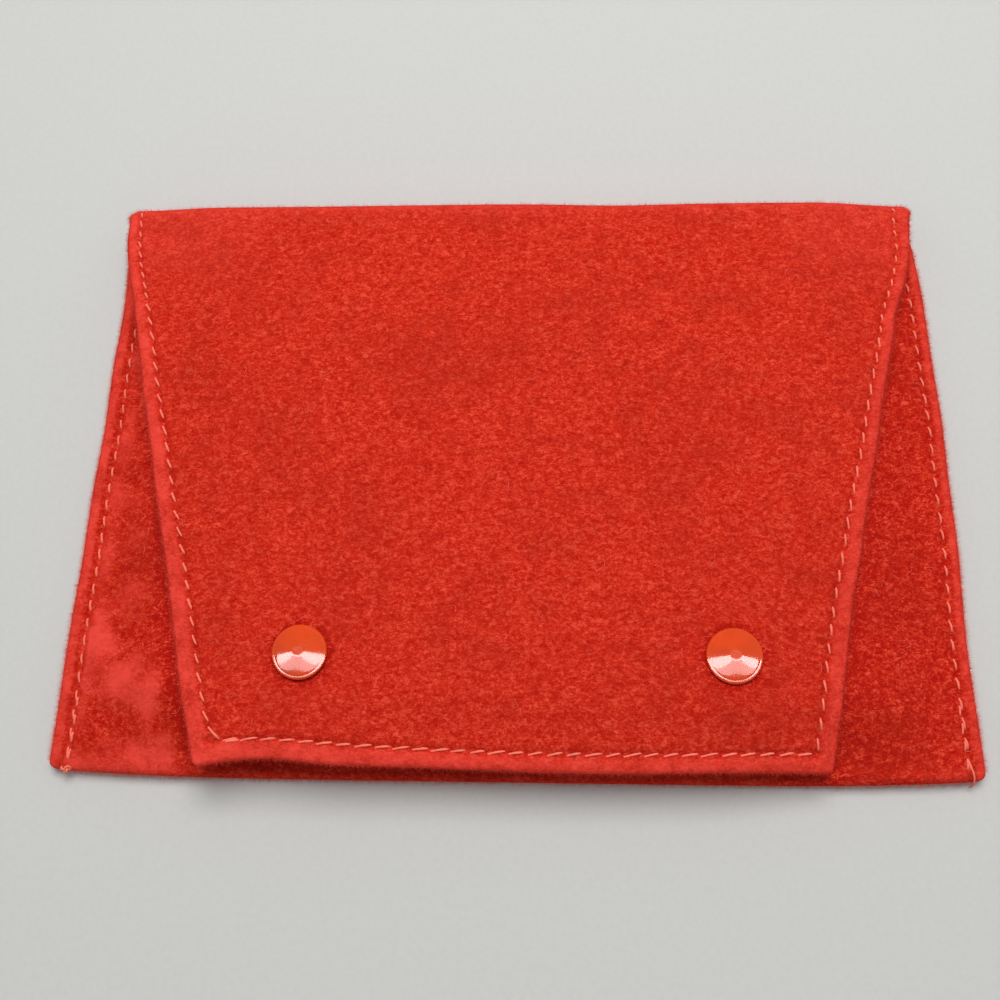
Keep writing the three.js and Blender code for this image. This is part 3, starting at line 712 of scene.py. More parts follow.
def velvet_finish(colours):
    """Short pile in clumps, paler where it was laid flat and darker where shade is painted. The
    attribute nap is above 0 for pile laid flat, which along the rims and fold crests also paints
    sheen and highlight, past SINGLE_FROM for single fibres, and below 0 for painted shade and
    painted shadow."""
    values = {"Roughness": 0.92, "Specular IOR Level": 0.0, "Sheen Weight": 0.45}
    values |= {"Sheen Roughness": 0.32, "Sheen Tint": paint(colours.velvet_sheen)}
    velvet = Finish("velvet", values)
    place = velvet.cloth_millimetres()
    turned = {"Vector": place, "Rotation": (0, 0, 0.35), "Scale": (0.75, 1.5, 1)}
    brushed = velvet.add("ShaderNodeMapping", turned).outputs[0]
    tufts = velvet.noise(place, 0.8, 4.0, 0.75, 1.0)
    strokes = velvet.noise(brushed, 1.25, 3.0, 0.68, 1.1)
    grain = velvet.noise(place, 3.0, 2.0, 0.6)
    clouds = velvet.noise(place, 0.2, 3.0, 0.6, 0.4)
    sweeps = velvet.noise(place, 0.045, 2.0, 0.5, 0.5)
    fine = velvet.weigh((tufts, 0.52), (strokes, 0.5), (grain, 0.2), start=-0.11)
    broad = velvet.weigh((clouds, 0.55), (sweeps, 0.45))
    nap = velvet.attribute("nap", "Fac")
    # Painted shade: how far the nap falls below 0, which darkens the pile and deepens its clumps
    away = velvet.times(velvet.math("MINIMUM", nap, 0.0), -1.0)
    spread = velvet.times(velvet.minus(fine, 0.5), velvet.weigh((away, 0.8), start=1.0))
    tone = velvet.minus(velvet.math("ADD", spread, 0.5), velvet.times(away, 0.08))
    stops = [(0.37, colours.velvet_shade), (0.5, colours.velvet), (0.64, colours.velvet_tip)]
    upright = velvet.ramp(tone, stops)
    dull = velvet.times(velvet.minus(0.56, broad), 1.8, clamp=True)
    upright = velvet.mix(dull, upright, paint([c * 0.8 for c in colours.velvet]))
    # Laid pile, which along the rims and fold crests also paints sheen and highlight
    flatness = velvet.weigh((clouds, 1.0), (fine, 1.4), start=-0.6)
    flat = velvet.times(nap, flatness, clamp=True)
    shown = velvet.mix(flat, upright, paint(colours.velvet_brushed_and_sheen))
    single = velvet.times(velvet.minus(nap, SINGLE_FROM), 1.4, clamp=True)
    velvet.put(velvet.shader, {"Base Color": velvet.mix(single, shown, paint(colours.fibre))})
    height = velvet.times(fine, velvet.minus(1.0, velvet.times(flat, 0.4)))
    strength = velvet.times(velvet.minus(1.0, single), 0.5)
    velvet.bump(velvet.weigh((height, 1.0), (clouds, 1.8)), strength, 0.45 * MM)
    return velvet.material


def lining_finish(colours):
    """Plain woven cloth"""
    lining = Finish("lining", {"Roughness": 0.8, "Specular IOR Level": 0.12})
    place = lining.cloth_millimetres()
    split = lining.add("ShaderNodeSeparateXYZ", {0: place})
    warp, weft = (lining.math("SINE", lining.times(split.outputs[axis], 14.0)) for axis in "XY")
    weave = lining.times(warp, weft)
    slubs = lining.noise(place, 0.35, 3.0, 0.6)
    lining.two_tone(lining.weigh((weave, 0.12), start=slubs), colours.lining, 0.86, 0.3, 0.7)
    lining.bump(weave, 0.3, 0.05 * MM)
    return lining.material


def thread_finish(colours):
    """Matte two-ply thread"""
    thread = Finish("thread", {"Roughness": 0.6, "Specular IOR Level": 0.0})
    place = thread.place()
    hairs = thread.noise(place, 2600.0, 3.0, 0.6)
    stretch = thread.noise(place, 120.0, 2.0)
    tone = thread.weigh((hairs, 0.6), (stretch, 0.4))
    thread.two_tone(tone, colours.thread, 0.9, 0.35, 0.62)
    thread.bump(hairs, 0.3, 0.05 * MM)
    return thread.material


def enamel_finish(colours):
    """Baked enamel on the caps, glossy and a little uneven"""
    values = {"Roughness": 0.16, "Specular IOR Level": 0.25}
    enamel = Finish("enamel", values | {"Coat Weight": 0.5, "Coat Roughness": 0.06})
    place = enamel.place()
    enamel.two_tone(enamel.noise(place, 260.0, 2.0), colours.enamel, 0.93, 0.3, 0.7)
    enamel.bump(enamel.noise(place, 900.0, 1.0), 0.04, 0.1 * MM)
    return enamel.material


def metal_finish(name, shade, roughness):
    """Plated metal with fine handling marks"""
    metal = Finish(name, {"Metallic": 1.0})
    marks = metal.noise(metal.place(), 1500.0, 4.0, 0.7)
    metal.two_tone(marks, shade, 0.85, 0.35, 0.6)
    rough = metal.weigh((marks, 0.2), start=roughness - 0.1)
    metal.put(metal.shader, {"Roughness": rough})
    metal.bump(marks, 0.05, 0.05 * MM)
    return metal.material


def nickel_finish(colours):
    return metal_finish("nickel", colours.nickel, 0.3)


def spring_finish(colours):
    return metal_finish("spring_steel", colours.spring, 0.32)


MAKERS = {"velvet": velvet_finish, "lining": lining_finish, "thread": thread_finish}
MAKERS |= {"enamel": enamel_finish, "nickel": nickel_finish, "spring_steel": spring_finish}
FINISHES_MADE = {}


def finish_of(context, name):
    """The pouch's finish of that name, made when it is first asked for"""
    made = bpy.data.materials.get(FINISHES_MADE.get(name, ""))
    if made is None:
        made = MAKERS[name](context.scene.pouch_finishes)
        FINISHES_MADE[name] = made.name
    return made


# Pieces


class POUCH_OT_pocket(Operator):
    """Strip of velvet that lies down the back, turns at the bottom and comes up the front, with
    its lining"""

    bl_idname = "pouch.pocket"
    bl_label = "Pocket"

    back_rows = 80
    end_rows = 14
    lining_rows = 150
    lining_end_rows = 10
    edge_fibres = 5600
    fold_fibres = 5600
    loose_fibres = 34
    # Pocket edge fibres take almost the whole pale fibre colour, a painted highlight along the
    # silhouette
    edge_nap = 2.2
    fold_nap = 1.75
    # Darkest painted shade on the pocket, and darkest painted shadow beside the flap
    deepest_nap_and_shade = -1.45
    darkest_painted_shadow = 1.35

    def execute(self, context):
        shape = PouchShape(context.scene.pouch_sizes)
        velvet = self.velvet(context, shape)
        pile = self.pile(context, shape)
        lining = self.lining(context, shape)
        area = (shape.sizes.bottom_width + shape.sizes.top_width) / 2 * shape.strip_length
        flat = (shape.sizes.bottom_width, shape.strip_length)
        flat = (flat[0] - 2 * LINING_INSET, flat[1] - LINING_INSET)
        area = area - 2 * LINING_INSET * shape.strip_length
        return {"FINISHED"}

    def velvet(self, context, shape):
        back = np.linspace(0, shape.back_length, self.back_rows, endpoint=False)
        end = np.linspace(0, shape.end_length, self.end_rows, endpoint=False)
        front = shape.front_start
        stop = shape.strip_length - EDGE_STEPS[-1]
        field = np.linspace(front, stop, int((stop - front) / ROW_SPACING), endpoint=False)
        last = shape.strip_length - EDGE_STEPS[::-1]
        rows = np.concatenate([back, shape.back_length + end, field, last])
        left, right = shape.edges_along(rows)
        at_mouth = np.clip(1 - (shape.strip_length - rows) / shape.mouth_corner, 0, 1)
        right = right - 0.45 * shape.mouth_corner * (1 - np.sqrt(1 - at_mouth**2))
        x, p = strip_grid(rows, left, right, EDGE_STEPS, 0.9 * MM)
        from_side = np.minimum(x - left[:, None], right[:, None] - x)
        edge = np.minimum(from_side, shape.strip_length - p)
        depths = turned_depths(shape.sizes, edge, shape.pocket_relief(from_side, x, p))
        face, finish = shape.pocket_face(x, p), finish_of(context, "velvet")
        nap = self.nap(shape, x, p, edge)
        piece = closed_sheet("pocket_velvet", (x, p), face, depths, False, finish, nap=nap)
        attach(piece, "pocket")
        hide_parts("back_panel", "front_panel")
        return piece

    def pile(self, context, shape):
        """Fibres that stand out along the side edges and the bottom fold, and loose ones beside
        the flap"""
        rng = np.random.default_rng(60)
        sizes = shape.sizes
        parts, loose = [], []
        for index, sign in ((0, -1), (1, 1)):
            high = shape.strip_length - shape.mouth_corner
            p = rng.uniform(shape.front_start, high, self.edge_fibres)
            edge = shape.edges_along(p)[index]
            parts.append(fringe(sizes, edge, p, (sign, 0), shape.pocket_face, rng))
        half = sizes.bottom_width / 2 - 2 * MM
        x = rng.uniform(-half, half, self.fold_fibres)
        low = shape.back_length + 0.25 * shape.end_length
        p = rng.uniform(low, shape.front_start + 0.5 * MM, self.fold_fibres)
        parts.append(crest(sizes, x, p, shape.pocket_face, rng))
        for _ in range(self.loose_fibres):
            p = rng.uniform(shape.front_start + 4 * MM, shape.strip_length - 12 * MM)
            y = shape.pocket_face(np.zeros(1), np.array([p]))[0]
            index = int(rng.integers(2))
            outer = shape.pocket_edges(y)[index][0]
            inner = shape.flap_edges(shape.fold_y - y)[index][0]
            x = outer + (inner - outer) * rng.uniform(0.1, 1)
            loose.append(strand(sizes, x, p, shape.on_pocket, rng))
        naps = [self.edge_nap, self.edge_nap, self.fold_nap]
        piece = pile_piece(context, "pocket_pile", parts, naps, loose)
        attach(piece, "pocket")
        return piece

    def nap(self, shape, x, p, edge):
        """Pile laid flat along the turned edges and where it was rubbed low on the left, with
        painted sheen on the rims; painted shadow beside the flap and under its hem, painted shade
        in a crease, in the stitch groove and over the right side, and a darker patch by the seam"""
        y = shape.bottom_y + shape.end_radius + p - shape.front_start
        on_left = x < 0
        flap_left, flap_right = shape.flap_edges(shape.fold_y - y)
        # Painted shadow beside both side edges of the flap, stronger towards the bottom, and
        # painted shade under the hem
        shadow_strength = 0.45 + 1.2 * smooth((8 * MM - y) / (40 * MM))
        left = hump(x, flap_left - 0.3 * MM, 3.6 * MM) + hump(x, flap_left + 0.3 * MM, 2.2 * MM)
        covered = (x > flap_left) & (x < flap_right)
        painted_shadow = shadow_strength * left + 0.5 * hump(x, flap_right + 1.0 * MM, 2.2 * MM)
        painted_shadow = painted_shadow + 0.3 * hump(y, shape.hem_y, 4 * MM) * covered
        # Painted shade that makes the right side of the pocket darker
        lean = 0.45 * smooth((x - 40 * MM) / (20 * MM))
        # Painted shade along a crease low on the left
        painted_crease_shade = spot(x, y, (-73.5, -38.2), (3.5, 0.9))
        seam_shade = 0.5 * spot(x, y, (-77, -48), (3.5, 7))
        on_fold = hump(p, shape.front_start - 0.5 * MM, 2.5 * MM)
        fold_left = 0.9 * smooth((-56 * MM - x) / (8 * MM))
        paler = on_fold * (fold_left + 0.6 * smooth((x - 72 * MM) / (6 * MM)))
        worn = shape.rubbed(x, y)
        patchy = worn + 0.22 * ripple(x, y, 3 * MM, 9 * MM, 21)
        rubbed = 1.1 * smooth((patchy - 0.28) / 0.4) * smooth(6 * worn)
        handled = 0.45 * ripple(x, y, 5 * MM, 16 * MM, 8) * smooth((-50 * MM - x) / (10 * MM))
        painted_shadow = np.minimum(painted_shadow, self.darkest_painted_shadow)
        field = rubbed + handled - seam_shade - painted_crease_shade - painted_shadow
        field = np.clip(field, self.deepest_nap_and_shade, FLAT_MOST) * (p > shape.front_start) - lean
        # Pile laid flat along the side edges, which also paints sheen at the silhouette, wider and
        # paler on the left
        at_rim = 1 - smooth((edge - 2.0 * MM) / (1.4 * MM))
        uneven = 0.85 + 0.35 * ripple(x, y, 2.5 * MM, 9 * MM, 23)
        rim_width = np.where(on_left, 1.8, 1.3) * MM
        outer = uneven * np.where(on_left, 1.1, 0.8) * (1 - smooth((edge - rim_width) / (0.9 * MM)))
        # Painted shade in the groove of the stitching
        stitch_groove_shade = 0.5 * hump(edge, 2.5 * MM, 0.6 * MM)
        behind = np.where(on_left, 0.4, 0.1) * hump(edge, 5.2 * MM, 1.3 * MM)
        total = field + (outer - stitch_groove_shade - field) * at_rim + behind + paler * (1 - at_rim)
        return np.minimum(total, FLAT_MOST)

    def lining(self, context, shape):
        rows = np.linspace(0, shape.strip_length - LINING_INSET, self.lining_rows)
        extra = shape.back_length + np.linspace(0, shape.end_length, self.lining_end_rows)
        rows = np.unique(np.concatenate([rows, extra]))
        edges, end = shape.edges_along(rows), shape.strip_length
        face = shape.pocket_face
        piece = lining_sheet(context, "pocket_lining", shape.sizes, rows, edges, end, face, False)
        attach(piece, "pocket")
        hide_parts("back_lining", "front_lining")
        return piece


def bend_with_flap(piece):
    """Puts the piece's transform into its mesh. Nothing here makes it turn with the flap."""
    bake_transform(piece)


class POUCH_OT_flap(Operator):
    """Velvet carried over the top fold and down as a tapered flap, with its lining"""

    bl_idname = "pouch.flap"
    bl_label = "Flap"

    roll_rows = 30
    lining_roll_rows = 24
    lining_rows = 70
    edge_fibres = 3000
    hem_fibres = 2600
    fold_fibres = 5400
    loose_fibres = 70
    left_nap, right_nap, hem_nap, fold_nap = 1.6, 1.5, 1.6, 1.75
    left_corner = 1.2 * MM
    right_corner = 0.8 * MM
    clear_of_caps = 9 * MM
    # Metres along the cloth, so that the flap's pattern doesn't repeat the pocket's
    pattern_apart = 0.4

    def execute(self, context):
        shape = PouchShape(context.scene.pouch_sizes)
        velvet = self.velvet(context, shape)
        pile = self.pile(context, shape)
        lining = self.lining(context, shape)
        taper = (shape.sizes.top_width + shape.sizes.hem_width) / 2 * shape.flap_length
        area = shape.sizes.top_width * shape.roll_length + taper
        flat = (shape.sizes.top_width, shape.roll_length + shape.flap_length)
        flat = (flat[0] - 2 * LINING_INSET, flat[1] - LINING_INSET)
        area = area - 2 * LINING_INSET * flat[1]
        return {"FINISHED"}

    def velvet(self, context, shape):
        roll = np.linspace(-shape.roll_length, 0, self.roll_rows, endpoint=False)
        stop = shape.flap_length - EDGE_STEPS[-1]
        field = np.linspace(0, stop, int(stop / ROW_SPACING), endpoint=False)
        rows = np.concatenate([roll, field, shape.flap_length - EDGE_STEPS[::-1]])
        left, right = shape.flap_edges(rows)
        x, q = strip_grid(rows, left, right, EDGE_STEPS, 0.85 * MM)
        left, right = left[:, None], right[:, None]
        from_side, from_hem = np.minimum(x - left, right - x), shape.flap_length - q
        edge = np.minimum(from_side, from_hem)
        corner = np.where(x < 0, self.left_corner, self.right_corner)
        side, end = round_corners(from_side, from_hem, corner)
        x = np.where(x - left < right - x, left + side, right - side)
        q = shape.flap_length - end
        face, finish = shape.flap_face(x, q), finish_of(context, "velvet")
        relief = shape.flap_relief(from_side, from_hem, x, q) - self.pressed(x, face[0])
        depths = turned_depths(shape.sizes, edge, relief)
        place, nap = (x, q + self.pattern_apart), self.nap(shape, x, q, from_side, from_hem)
        piece = closed_sheet("flap_velvet", place, face, depths, True, finish, nap=nap)
        bend_with_flap(piece)
        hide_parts("flap_panel", "top_fold")
        return piece

    def pile(self, context, shape):
        """Fibres that stand out along the sides, the hem and the top fold, and loose ones that
        lie on the flap"""
        rng = np.random.default_rng(61)
        sizes = shape.sizes
        end = shape.flap_length
        parts, loose = [], []
        for index, sign in ((0, -1), (1, 1)):
            q = rng.uniform(-0.4 * shape.roll_length, end - 1.2 * MM, self.edge_fibres)
            edge = shape.flap_edges(q)[index]
            parts.append(fringe(sizes, edge, q, (sign, 0), shape.flap_face, rng))
        left, right = (edges[0] for edges in shape.flap_edges(np.array([end])))
        x = rng.uniform(left + self.left_corner, right - self.right_corner, self.hem_fibres)
        parts.append(fringe(sizes, x, end, (0, -1), shape.flap_face, rng))
        half = sizes.top_width / 2 - 2 * MM
        x = rng.uniform(-half, half, self.fold_fibres)
        q = rng.uniform(-0.75 * shape.roll_length, -0.1 * shape.roll_length, self.fold_fibres)
        parts.append(crest(sizes, x, q, shape.flap_face, rng))
        for _ in range(self.loose_fibres):
            q = rng.uniform(3 * MM, end - 7 * MM)
            left, right = (edges[0] for edges in shape.flap_edges(np.array([q])))
            x = rng.uniform(left + 3 * MM, right - 3 * MM)
            if self.from_cap(x, shape.fold_y - q) > self.clear_of_caps:
                loose.append(strand(sizes, x, q, shape.on_flap, rng))
        naps = [self.left_nap, self.right_nap, self.hem_nap, self.fold_nap]
        piece = pile_piece(context, "flap_pile", parts, naps, loose)
        bend_with_flap(piece)
        return piece

    def pressed(self, x, y):
        """Pile pressed down under the rim of each cap"""
        return 0.25 * MM * (1 - smooth((self.from_cap(x, y) - 4.6 * MM) / (1.4 * MM)))

    def from_cap(self, x, y):
        """Distance from the middle of the nearest cap"""
        caps = [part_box(f"{side}_snap_cap") for side in SNAP_SIDES]
        away = [np.hypot(x - (a.x + b.x) / 2, y - (a.y + b.y) / 2) for a, b in caps]
        return np.min(away, axis=0)

    def nap(self, shape, x, q, from_side, from_hem):
        """Pile laid flat outside the stitching and over the top fold, with painted sheen along the
        rim that is paler on the left than on the right, a painted highlight on the fold's crest,
        painted shade in the stitch groove and a painted shadow round each cap"""
        to_side, to_hem = from_side - shape.row_margin(x, q), from_hem - shape.hem_row_margin(x)
        to_row = np.minimum(to_side, to_hem)
        # Laid pile along the rim, which also paints sheen, paler on the left than on the right; on
        # the right the outer wall is left darker as painted shade
        by_side = 1.2 - 0.4 * smooth((x + 70 * MM) / (140 * MM))
        uneven = 0.85 + 0.3 * ripple(x, q, 2.5 * MM, 9 * MM, 22)
        rim_pile_and_sheen = by_side * uneven * (1 - smooth((to_row + 1.3 * MM) / (1.4 * MM)))
        rim_pile_and_sheen = rim_pile_and_sheen * np.where(x > 0, 0.8 + 0.2 * smooth(from_side / (0.9 * MM)), 1)
        # Pile laid flat over the top fold, which also paints a highlight on its crest
        fold = hump(q, -6 * MM, 5.8 * MM)
        ends = 0.35 * hump(q, 6 * MM, 9 * MM) * smooth((np.abs(x) - 45 * MM) / (25 * MM))
        # Painted shade in the groove of the stitching
        stitch_groove_shade = 0.2 * hump(to_row, -0.1 * MM, 0.6 * MM) * (1 - fold)
        # Painted shadow in a ring round each cap
        ring = 1.3 * hump(self.from_cap(x, shape.fold_y - q), 5.3 * MM, 0.6 * MM)
        return np.maximum(rim_pile_and_sheen, fold + ends) - stitch_groove_shade - ring

    def lining(self, context, shape):
        end = shape.flap_length
        roll = np.linspace(-shape.roll_length, 0, self.lining_roll_rows, endpoint=False)
        field = np.linspace(0, end - LINING_INSET - 1 * MM, self.lining_rows, endpoint=False)
        last = end - LINING_INSET - np.array([1.0, 0.5, 0.2, 0.08, 0]) * MM
        rows = np.concatenate([roll, field, last])
        edges, name = shape.flap_edges(rows), "flap_lining_cloth"
        piece = lining_sheet(
            context, name, shape.sizes, rows, edges, end, shape.flap_face, True, self.pattern_apart
        )
        bend_with_flap(piece)
        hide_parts("flap_lining", "top_fold_lining")
        return piece


class POUCH_OT_stitching(Operator):
    """Side seams of the pocket and the row that runs round the flap, stitch by stitch"""

    bl_idname = "pouch.stitching"
    bl_label = "Stitching"

    def execute(self, context):
        shape = PouchShape(context.scene.pouch_sizes)
        for index, side in enumerate(SNAP_SIDES):
            points, faces = joined(self.side_seam(shape, index))
            finish = finish_of(context, "thread")
            piece = new_piece(f"{side}_seam_stitches", points, faces, finish)
            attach(piece, "pocket")
            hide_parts(f"{side}_seam_thread")
        points, faces = joined(self.flap_row(shape))
        piece = new_piece("flap_stitches", points, faces, finish_of(context, "thread"))
        bend_with_flap(piece)
        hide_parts("flap_thread")
        return {"FINISHED"}

    def stitch(self, shape, surface, start, end, rng, under):
        """One stitch between two points of the strip, which dips into the cloth at both ends.
        under is how deep a bobbin stitch lies, or None for a needle stitch."""
        t = np.linspace(0, 1, 11)
        x = start[0] + (end[0] - start[0]) * t
        along = start[1] + (end[1] - start[1]) * t
        radius = shape.sizes.thread_radius * rng.uniform(0.92, 1.08)
        rise = np.sin(math.pi * t) ** 0.6
        if under is None:
            lift = radius * (-1.1 + 1.95 * rise)
        else:
            lift = -under - radius * (0.85 * rise - 0.5)
        points = surface(x, along, lift)
        outward = surface(x, along, lift + 0.1 * MM) - points
        taper = radius * (0.72 + 0.28 * np.sin(math.pi * t) ** 0.5)
        return tube(points, outward, taper, plies=0.1)

    def row(self, shape, surface, rng, under, path, count, slant, shown=None, longest=1.06):
        """Stitches along a path of the strip, each turned a little to the same side"""
        pieces = []
        show = (shown or shape.sizes.stitch_length) / shape.sizes.stitch_pitch
        for i in range(count):
            middle = (i + 0.5 + rng.uniform(-0.03, 0.03)) / count
            half = show / 2 / count * rng.uniform(0.9, longest)
            a, b = np.array(path(middle - half)), np.array(path(middle + half))
            ahead = b - a
            across = np.array([-ahead[1], ahead[0]]) * slant * rng.uniform(0.7, 1.25) / 2
            pieces.append(self.stitch(shape, surface, a - across, b + across, rng, under))
        return pieces

    def side_seam(self, shape, index):
        """Needle thread on the front, bobbin thread on the back, a few stitches sewn twice at
        the bottom, and the end of the thread"""
        rng = np.random.default_rng(40 + index)
        sizes = shape.sizes
        sign = 1 - 2 * index
        count = int((shape.front_length - sizes.seam_margin) / sizes.stitch_pitch)
        run = count * sizes.stitch_pitch
        run_twice = 3.6 * sizes.stitch_pitch

        def path(p, shift=0.0):
            edge = shape.edges_along(np.array([p]))[index][0]
            return edge + sign * (shape.seam_margin(edge) + shift), p

        def front(t):
            return path(shape.front_start + run * (1 - t))

        def back(t):
            return path(shape.back_length - run * (1 - t))

        def twice(t):
            return path(shape.front_start + run_twice * (1 - t), 0.35 * MM)

        pieces = []
        for values in ((front, count, 0.17), (back, count, 0.12), (twice, 4, -0.1)):
            pieces += self.row(shape, shape.on_pocket, rng, None, *values)
        end = self.knot if index == 0 else self.tail
        return pieces + [end(shape, path(shape.front_start + 0.2 * MM)[0])]

    def knot(self, shape, x):
        """Ends of the thread tied off over the bottom fold"""
        t = np.linspace(0, 2 * math.pi, 60)
        p = np.array([shape.front_start - 1.2 * MM])
        middle = shape.on_pocket(np.array([x]), p, 0.2 * MM)[0]
        loop = [np.sin(t) + 2 * np.sin(2 * t), np.cos(t) - 2 * np.cos(2 * t), -np.sin(3 * t)]
        points = middle + np.stack(loop, -1) * np.array([0.3, 0.2, 0.22]) * MM
        outward = np.broadcast_to(np.array([0.02, 0.03, 1.0]), points.shape)
        return tube(points, outward, np.full(len(t), 0.9 * shape.sizes.thread_radius))

    def tail(self, shape, x):
        """End of the thread left hanging past the bottom fold"""
        t = np.linspace(0, 1, 14)
        p = shape.front_start + 1.6 * MM - 4.6 * MM * t
        points = shape.on_pocket(x + 0.5 * MM * np.sin(2.5 * t), p, 0.15 * MM + 0 * t)
        points[:, 1] -= 0.8 * MM * t**2
        points[:, 2] = np.maximum(points[:, 2], 0.3 * MM)
        x = x + 0 * t
        outward = shape.on_pocket(x, p, 1 * MM + 0 * t) - shape.on_pocket(x, p, 0 * t)
        return tube(points, outward, shape.sizes.thread_radius * (0.95 - 0.35 * t))

    def flap_row(self, shape):
        """Needle thread from the top fold down one side, along the hem and up the other, and
        bobbin thread below"""
        rng = np.random.default_rng(50)
        sizes = shape.sizes
        pitch = sizes.stitch_pitch
        hem_x, hem_q = shape.hem_row
        side_slant, hem_slant = -0.28, -0.17

        def side(index, q):
            edge = shape.flap_edges(np.array([q]), 1.0 * MM)[index][0]
            return edge + (1 - 2 * index) * shape.row_margin(edge, q), q

        def down(index, first, last):
            return lambda t: side(index, first + (last - first) * t)

        def between(a, b):
            return lambda t: (a[0] + (b[0] - a[0]) * t, a[1] + (b[1] - a[1]) * t)

        def hem(t):
            x = hem_x + across * shape.hem_pitch * t
            return x, shape.flap_length - shape.hem_row_margin(x)

        left_top, right_top = -3 * pitch, -0.6 * pitch
        left_start, right_start = left_top + 9 * pitch, right_top + 9 * pitch
        left_count = int((shape.side_row_end - left_start) / pitch)
        left_end = left_start + left_count * pitch
        right_end = hem_q + 0.8 * MM
        right_count = round((right_end - right_start) / pitch)
        across = round((side(1, hem_q)[0] - hem_x - 0.8 * MM) / shape.hem_pitch)
        again = (hem_x, hem_q + 0.3 * MM), (hem_x + 1.2 * pitch, hem_q + 0.3 * MM)
        rows = (
            (down(0, left_top, left_start), 12, side_slant),
            (down(0, left_start, left_end), left_count, side_slant),
            (between(side(0, left_end), shape.hem_row), 1, 0.0, 0.98 * pitch),
            (hem, across, hem_slant, sizes.hem_stitch, 1.18),
            (between(*again), 1, -0.1),
            (down(1, right_end, right_start), right_count, side_slant),
            (down(1, right_start, right_top), 11, side_slant, 1.7 * MM),
        )
        pieces = []
        for under in (None, sizes.turned_edge):
            for values in rows:
                pieces += self.row(shape, shape.on_flap, rng, under, *values)
        return pieces


class POUCH_OT_snaps(Operator):
    """Both snaps: cap, post, socket and ring spring on the flap, stud and its post on the pocket"""

    bl_idname = "pouch.snaps"
    bl_label = "Snaps"

    # Half profiles as radius and height in millimetres
    cap = [(0, 1.93), (0.6, 1.935), (1.0, 1.94), (1.12, 1.925), (1.25, 1.88), (1.6, 1.773)]
    cap += [(2.0, 1.646), (2.5, 1.481), (3.0, 1.308), (3.5, 1.127), (3.9, 0.973), (4.2, 0.852)]
    cap += [(4.32, 0.79), (4.38, 0.745), (4.46, 0.72), (4.56, 0.7), (4.7, 0.65), (4.84, 0.57)]
    cap += [(4.95, 0.46), (5.0, 0.33), (4.95, 0.17), (4.78, 0.03), (4.4, 0.0), (3.95, 0.02)]
    cap += [(3.95, 0.3), (4.5, 0.32), (4.5, 0.42), (4.1, 0.55), (3.0, 1.05), (0, 1.5)]
    post = [(0, 0.8), (3.7, 0.8), (3.7, 0.45), (1.5, 0.45), (1.5, -1.95), (2.2, -2.0)]
    post += [(2.2, -2.17), (1.15, -2.16), (1.15, 0.45), (0, 0.45)]
    socket = [(1.6, 2.4), (3.4, 2.4), (3.75, 2.33), (3.95, 2.1), (4.0, 1.8), (4.0, 0.8)]
    socket += [(3.9, 0.4), (3.65, 0.1), (3.3, 0.0), (2.4, 0.0), (2.16, 0.1), (2.15, 0.33)]
    socket += [(3.2, 0.35), (3.55, 0.6), (3.65, 0.95), (3.65, 2.03), (1.6, 2.05)]
    stud = [(1.05, 0), (3.5, 0), (3.6, 0.1), (3.6, 0.28), (3.4, 0.36), (2.0, 0.42), (1.75, 0.5)]
    stud += [(1.5, 0.8), (1.48, 1.3), (1.62, 1.55), (1.78, 1.72), (1.76, 1.85), (1.6, 1.95)]
    stud += [(1.3, 2.0), (1.05, 2.0)]
    stem = [(0.6, 0), (3.4, 0), (3.6, 0.1), (3.6, 0.3), (3.4, 0.35), (0.95, 0.37), (0.95, 4.0)]
    stem += [(1.28, 4.0), (1.2, 4.15), (0.62, 4.2)]

    sides = 48
    sharp_from = math.radians(50)
    wire_radius = 0.25 * MM
    wire_turn = math.radians(330)

    def execute(self, context):
        pieces = (
            ("cap", "enamel", "flap", "snap_cap", self.cap),
            ("cap_post", "nickel", "flap", "snap_post", self.post),
            ("socket", "nickel", "flap", "snap_socket", self.socket),
            ("stud", "nickel", "pocket", "snap_stud", self.stud),
            ("stud_stem", "nickel", "pocket", "stud_post", self.stem),
        )
        for side in SNAP_SIDES:
            for name, finish, body, node, profile in pieces:
                self.add_turned(context, f"{side}_{name}", finish, body, f"{side}_{node}", profile)
            self.spring(context, side)
        return {"FINISHED"}

    def add_turned(self, context, name, finish, body, node, profile):
        """A turned piece over the axis of its snap"""
        low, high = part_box(node)
        bottom = min(z for _, z in profile)
        axis = np.array([(low.x + high.x) / 2, (low.y + high.y) / 2, low.z - bottom * MM])
        points, faces = turned(profile, self.sides)
        piece = new_piece(name, points * MM + axis, faces, finish_of(context, finish))
        piece.data.set_sharp_from_angle(angle=self.sharp_from)
        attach(piece, body)
        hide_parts(node)

    def spring(self, context, side):
        """Split ring of wire in the socket"""
        low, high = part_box(f"{side}_snap_spring")
        reach = (high.y - low.y) / 2 - self.wire_radius
        turn = np.linspace(0, self.wire_turn, 49)
        a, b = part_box(f"{side}_snap_socket")
        x = (a.x + b.x) / 2 + reach * np.cos(turn)
        y = (a.y + b.y) / 2 + reach * np.sin(turn)
        points = np.stack([x, y, np.full_like(turn, (low.z + high.z) / 2)], -1)
        outward = np.broadcast_to(np.array([0.0, 0, 1]), points.shape)
        rings, faces = tube(points, outward, np.full(len(turn), self.wire_radius), sides=10)
        finish = finish_of(context, "spring_steel")
        piece = new_piece(f"{side}_ring_spring", rings, faces, finish)
        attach(piece, "flap")
        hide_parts(f"{side}_snap_spring")


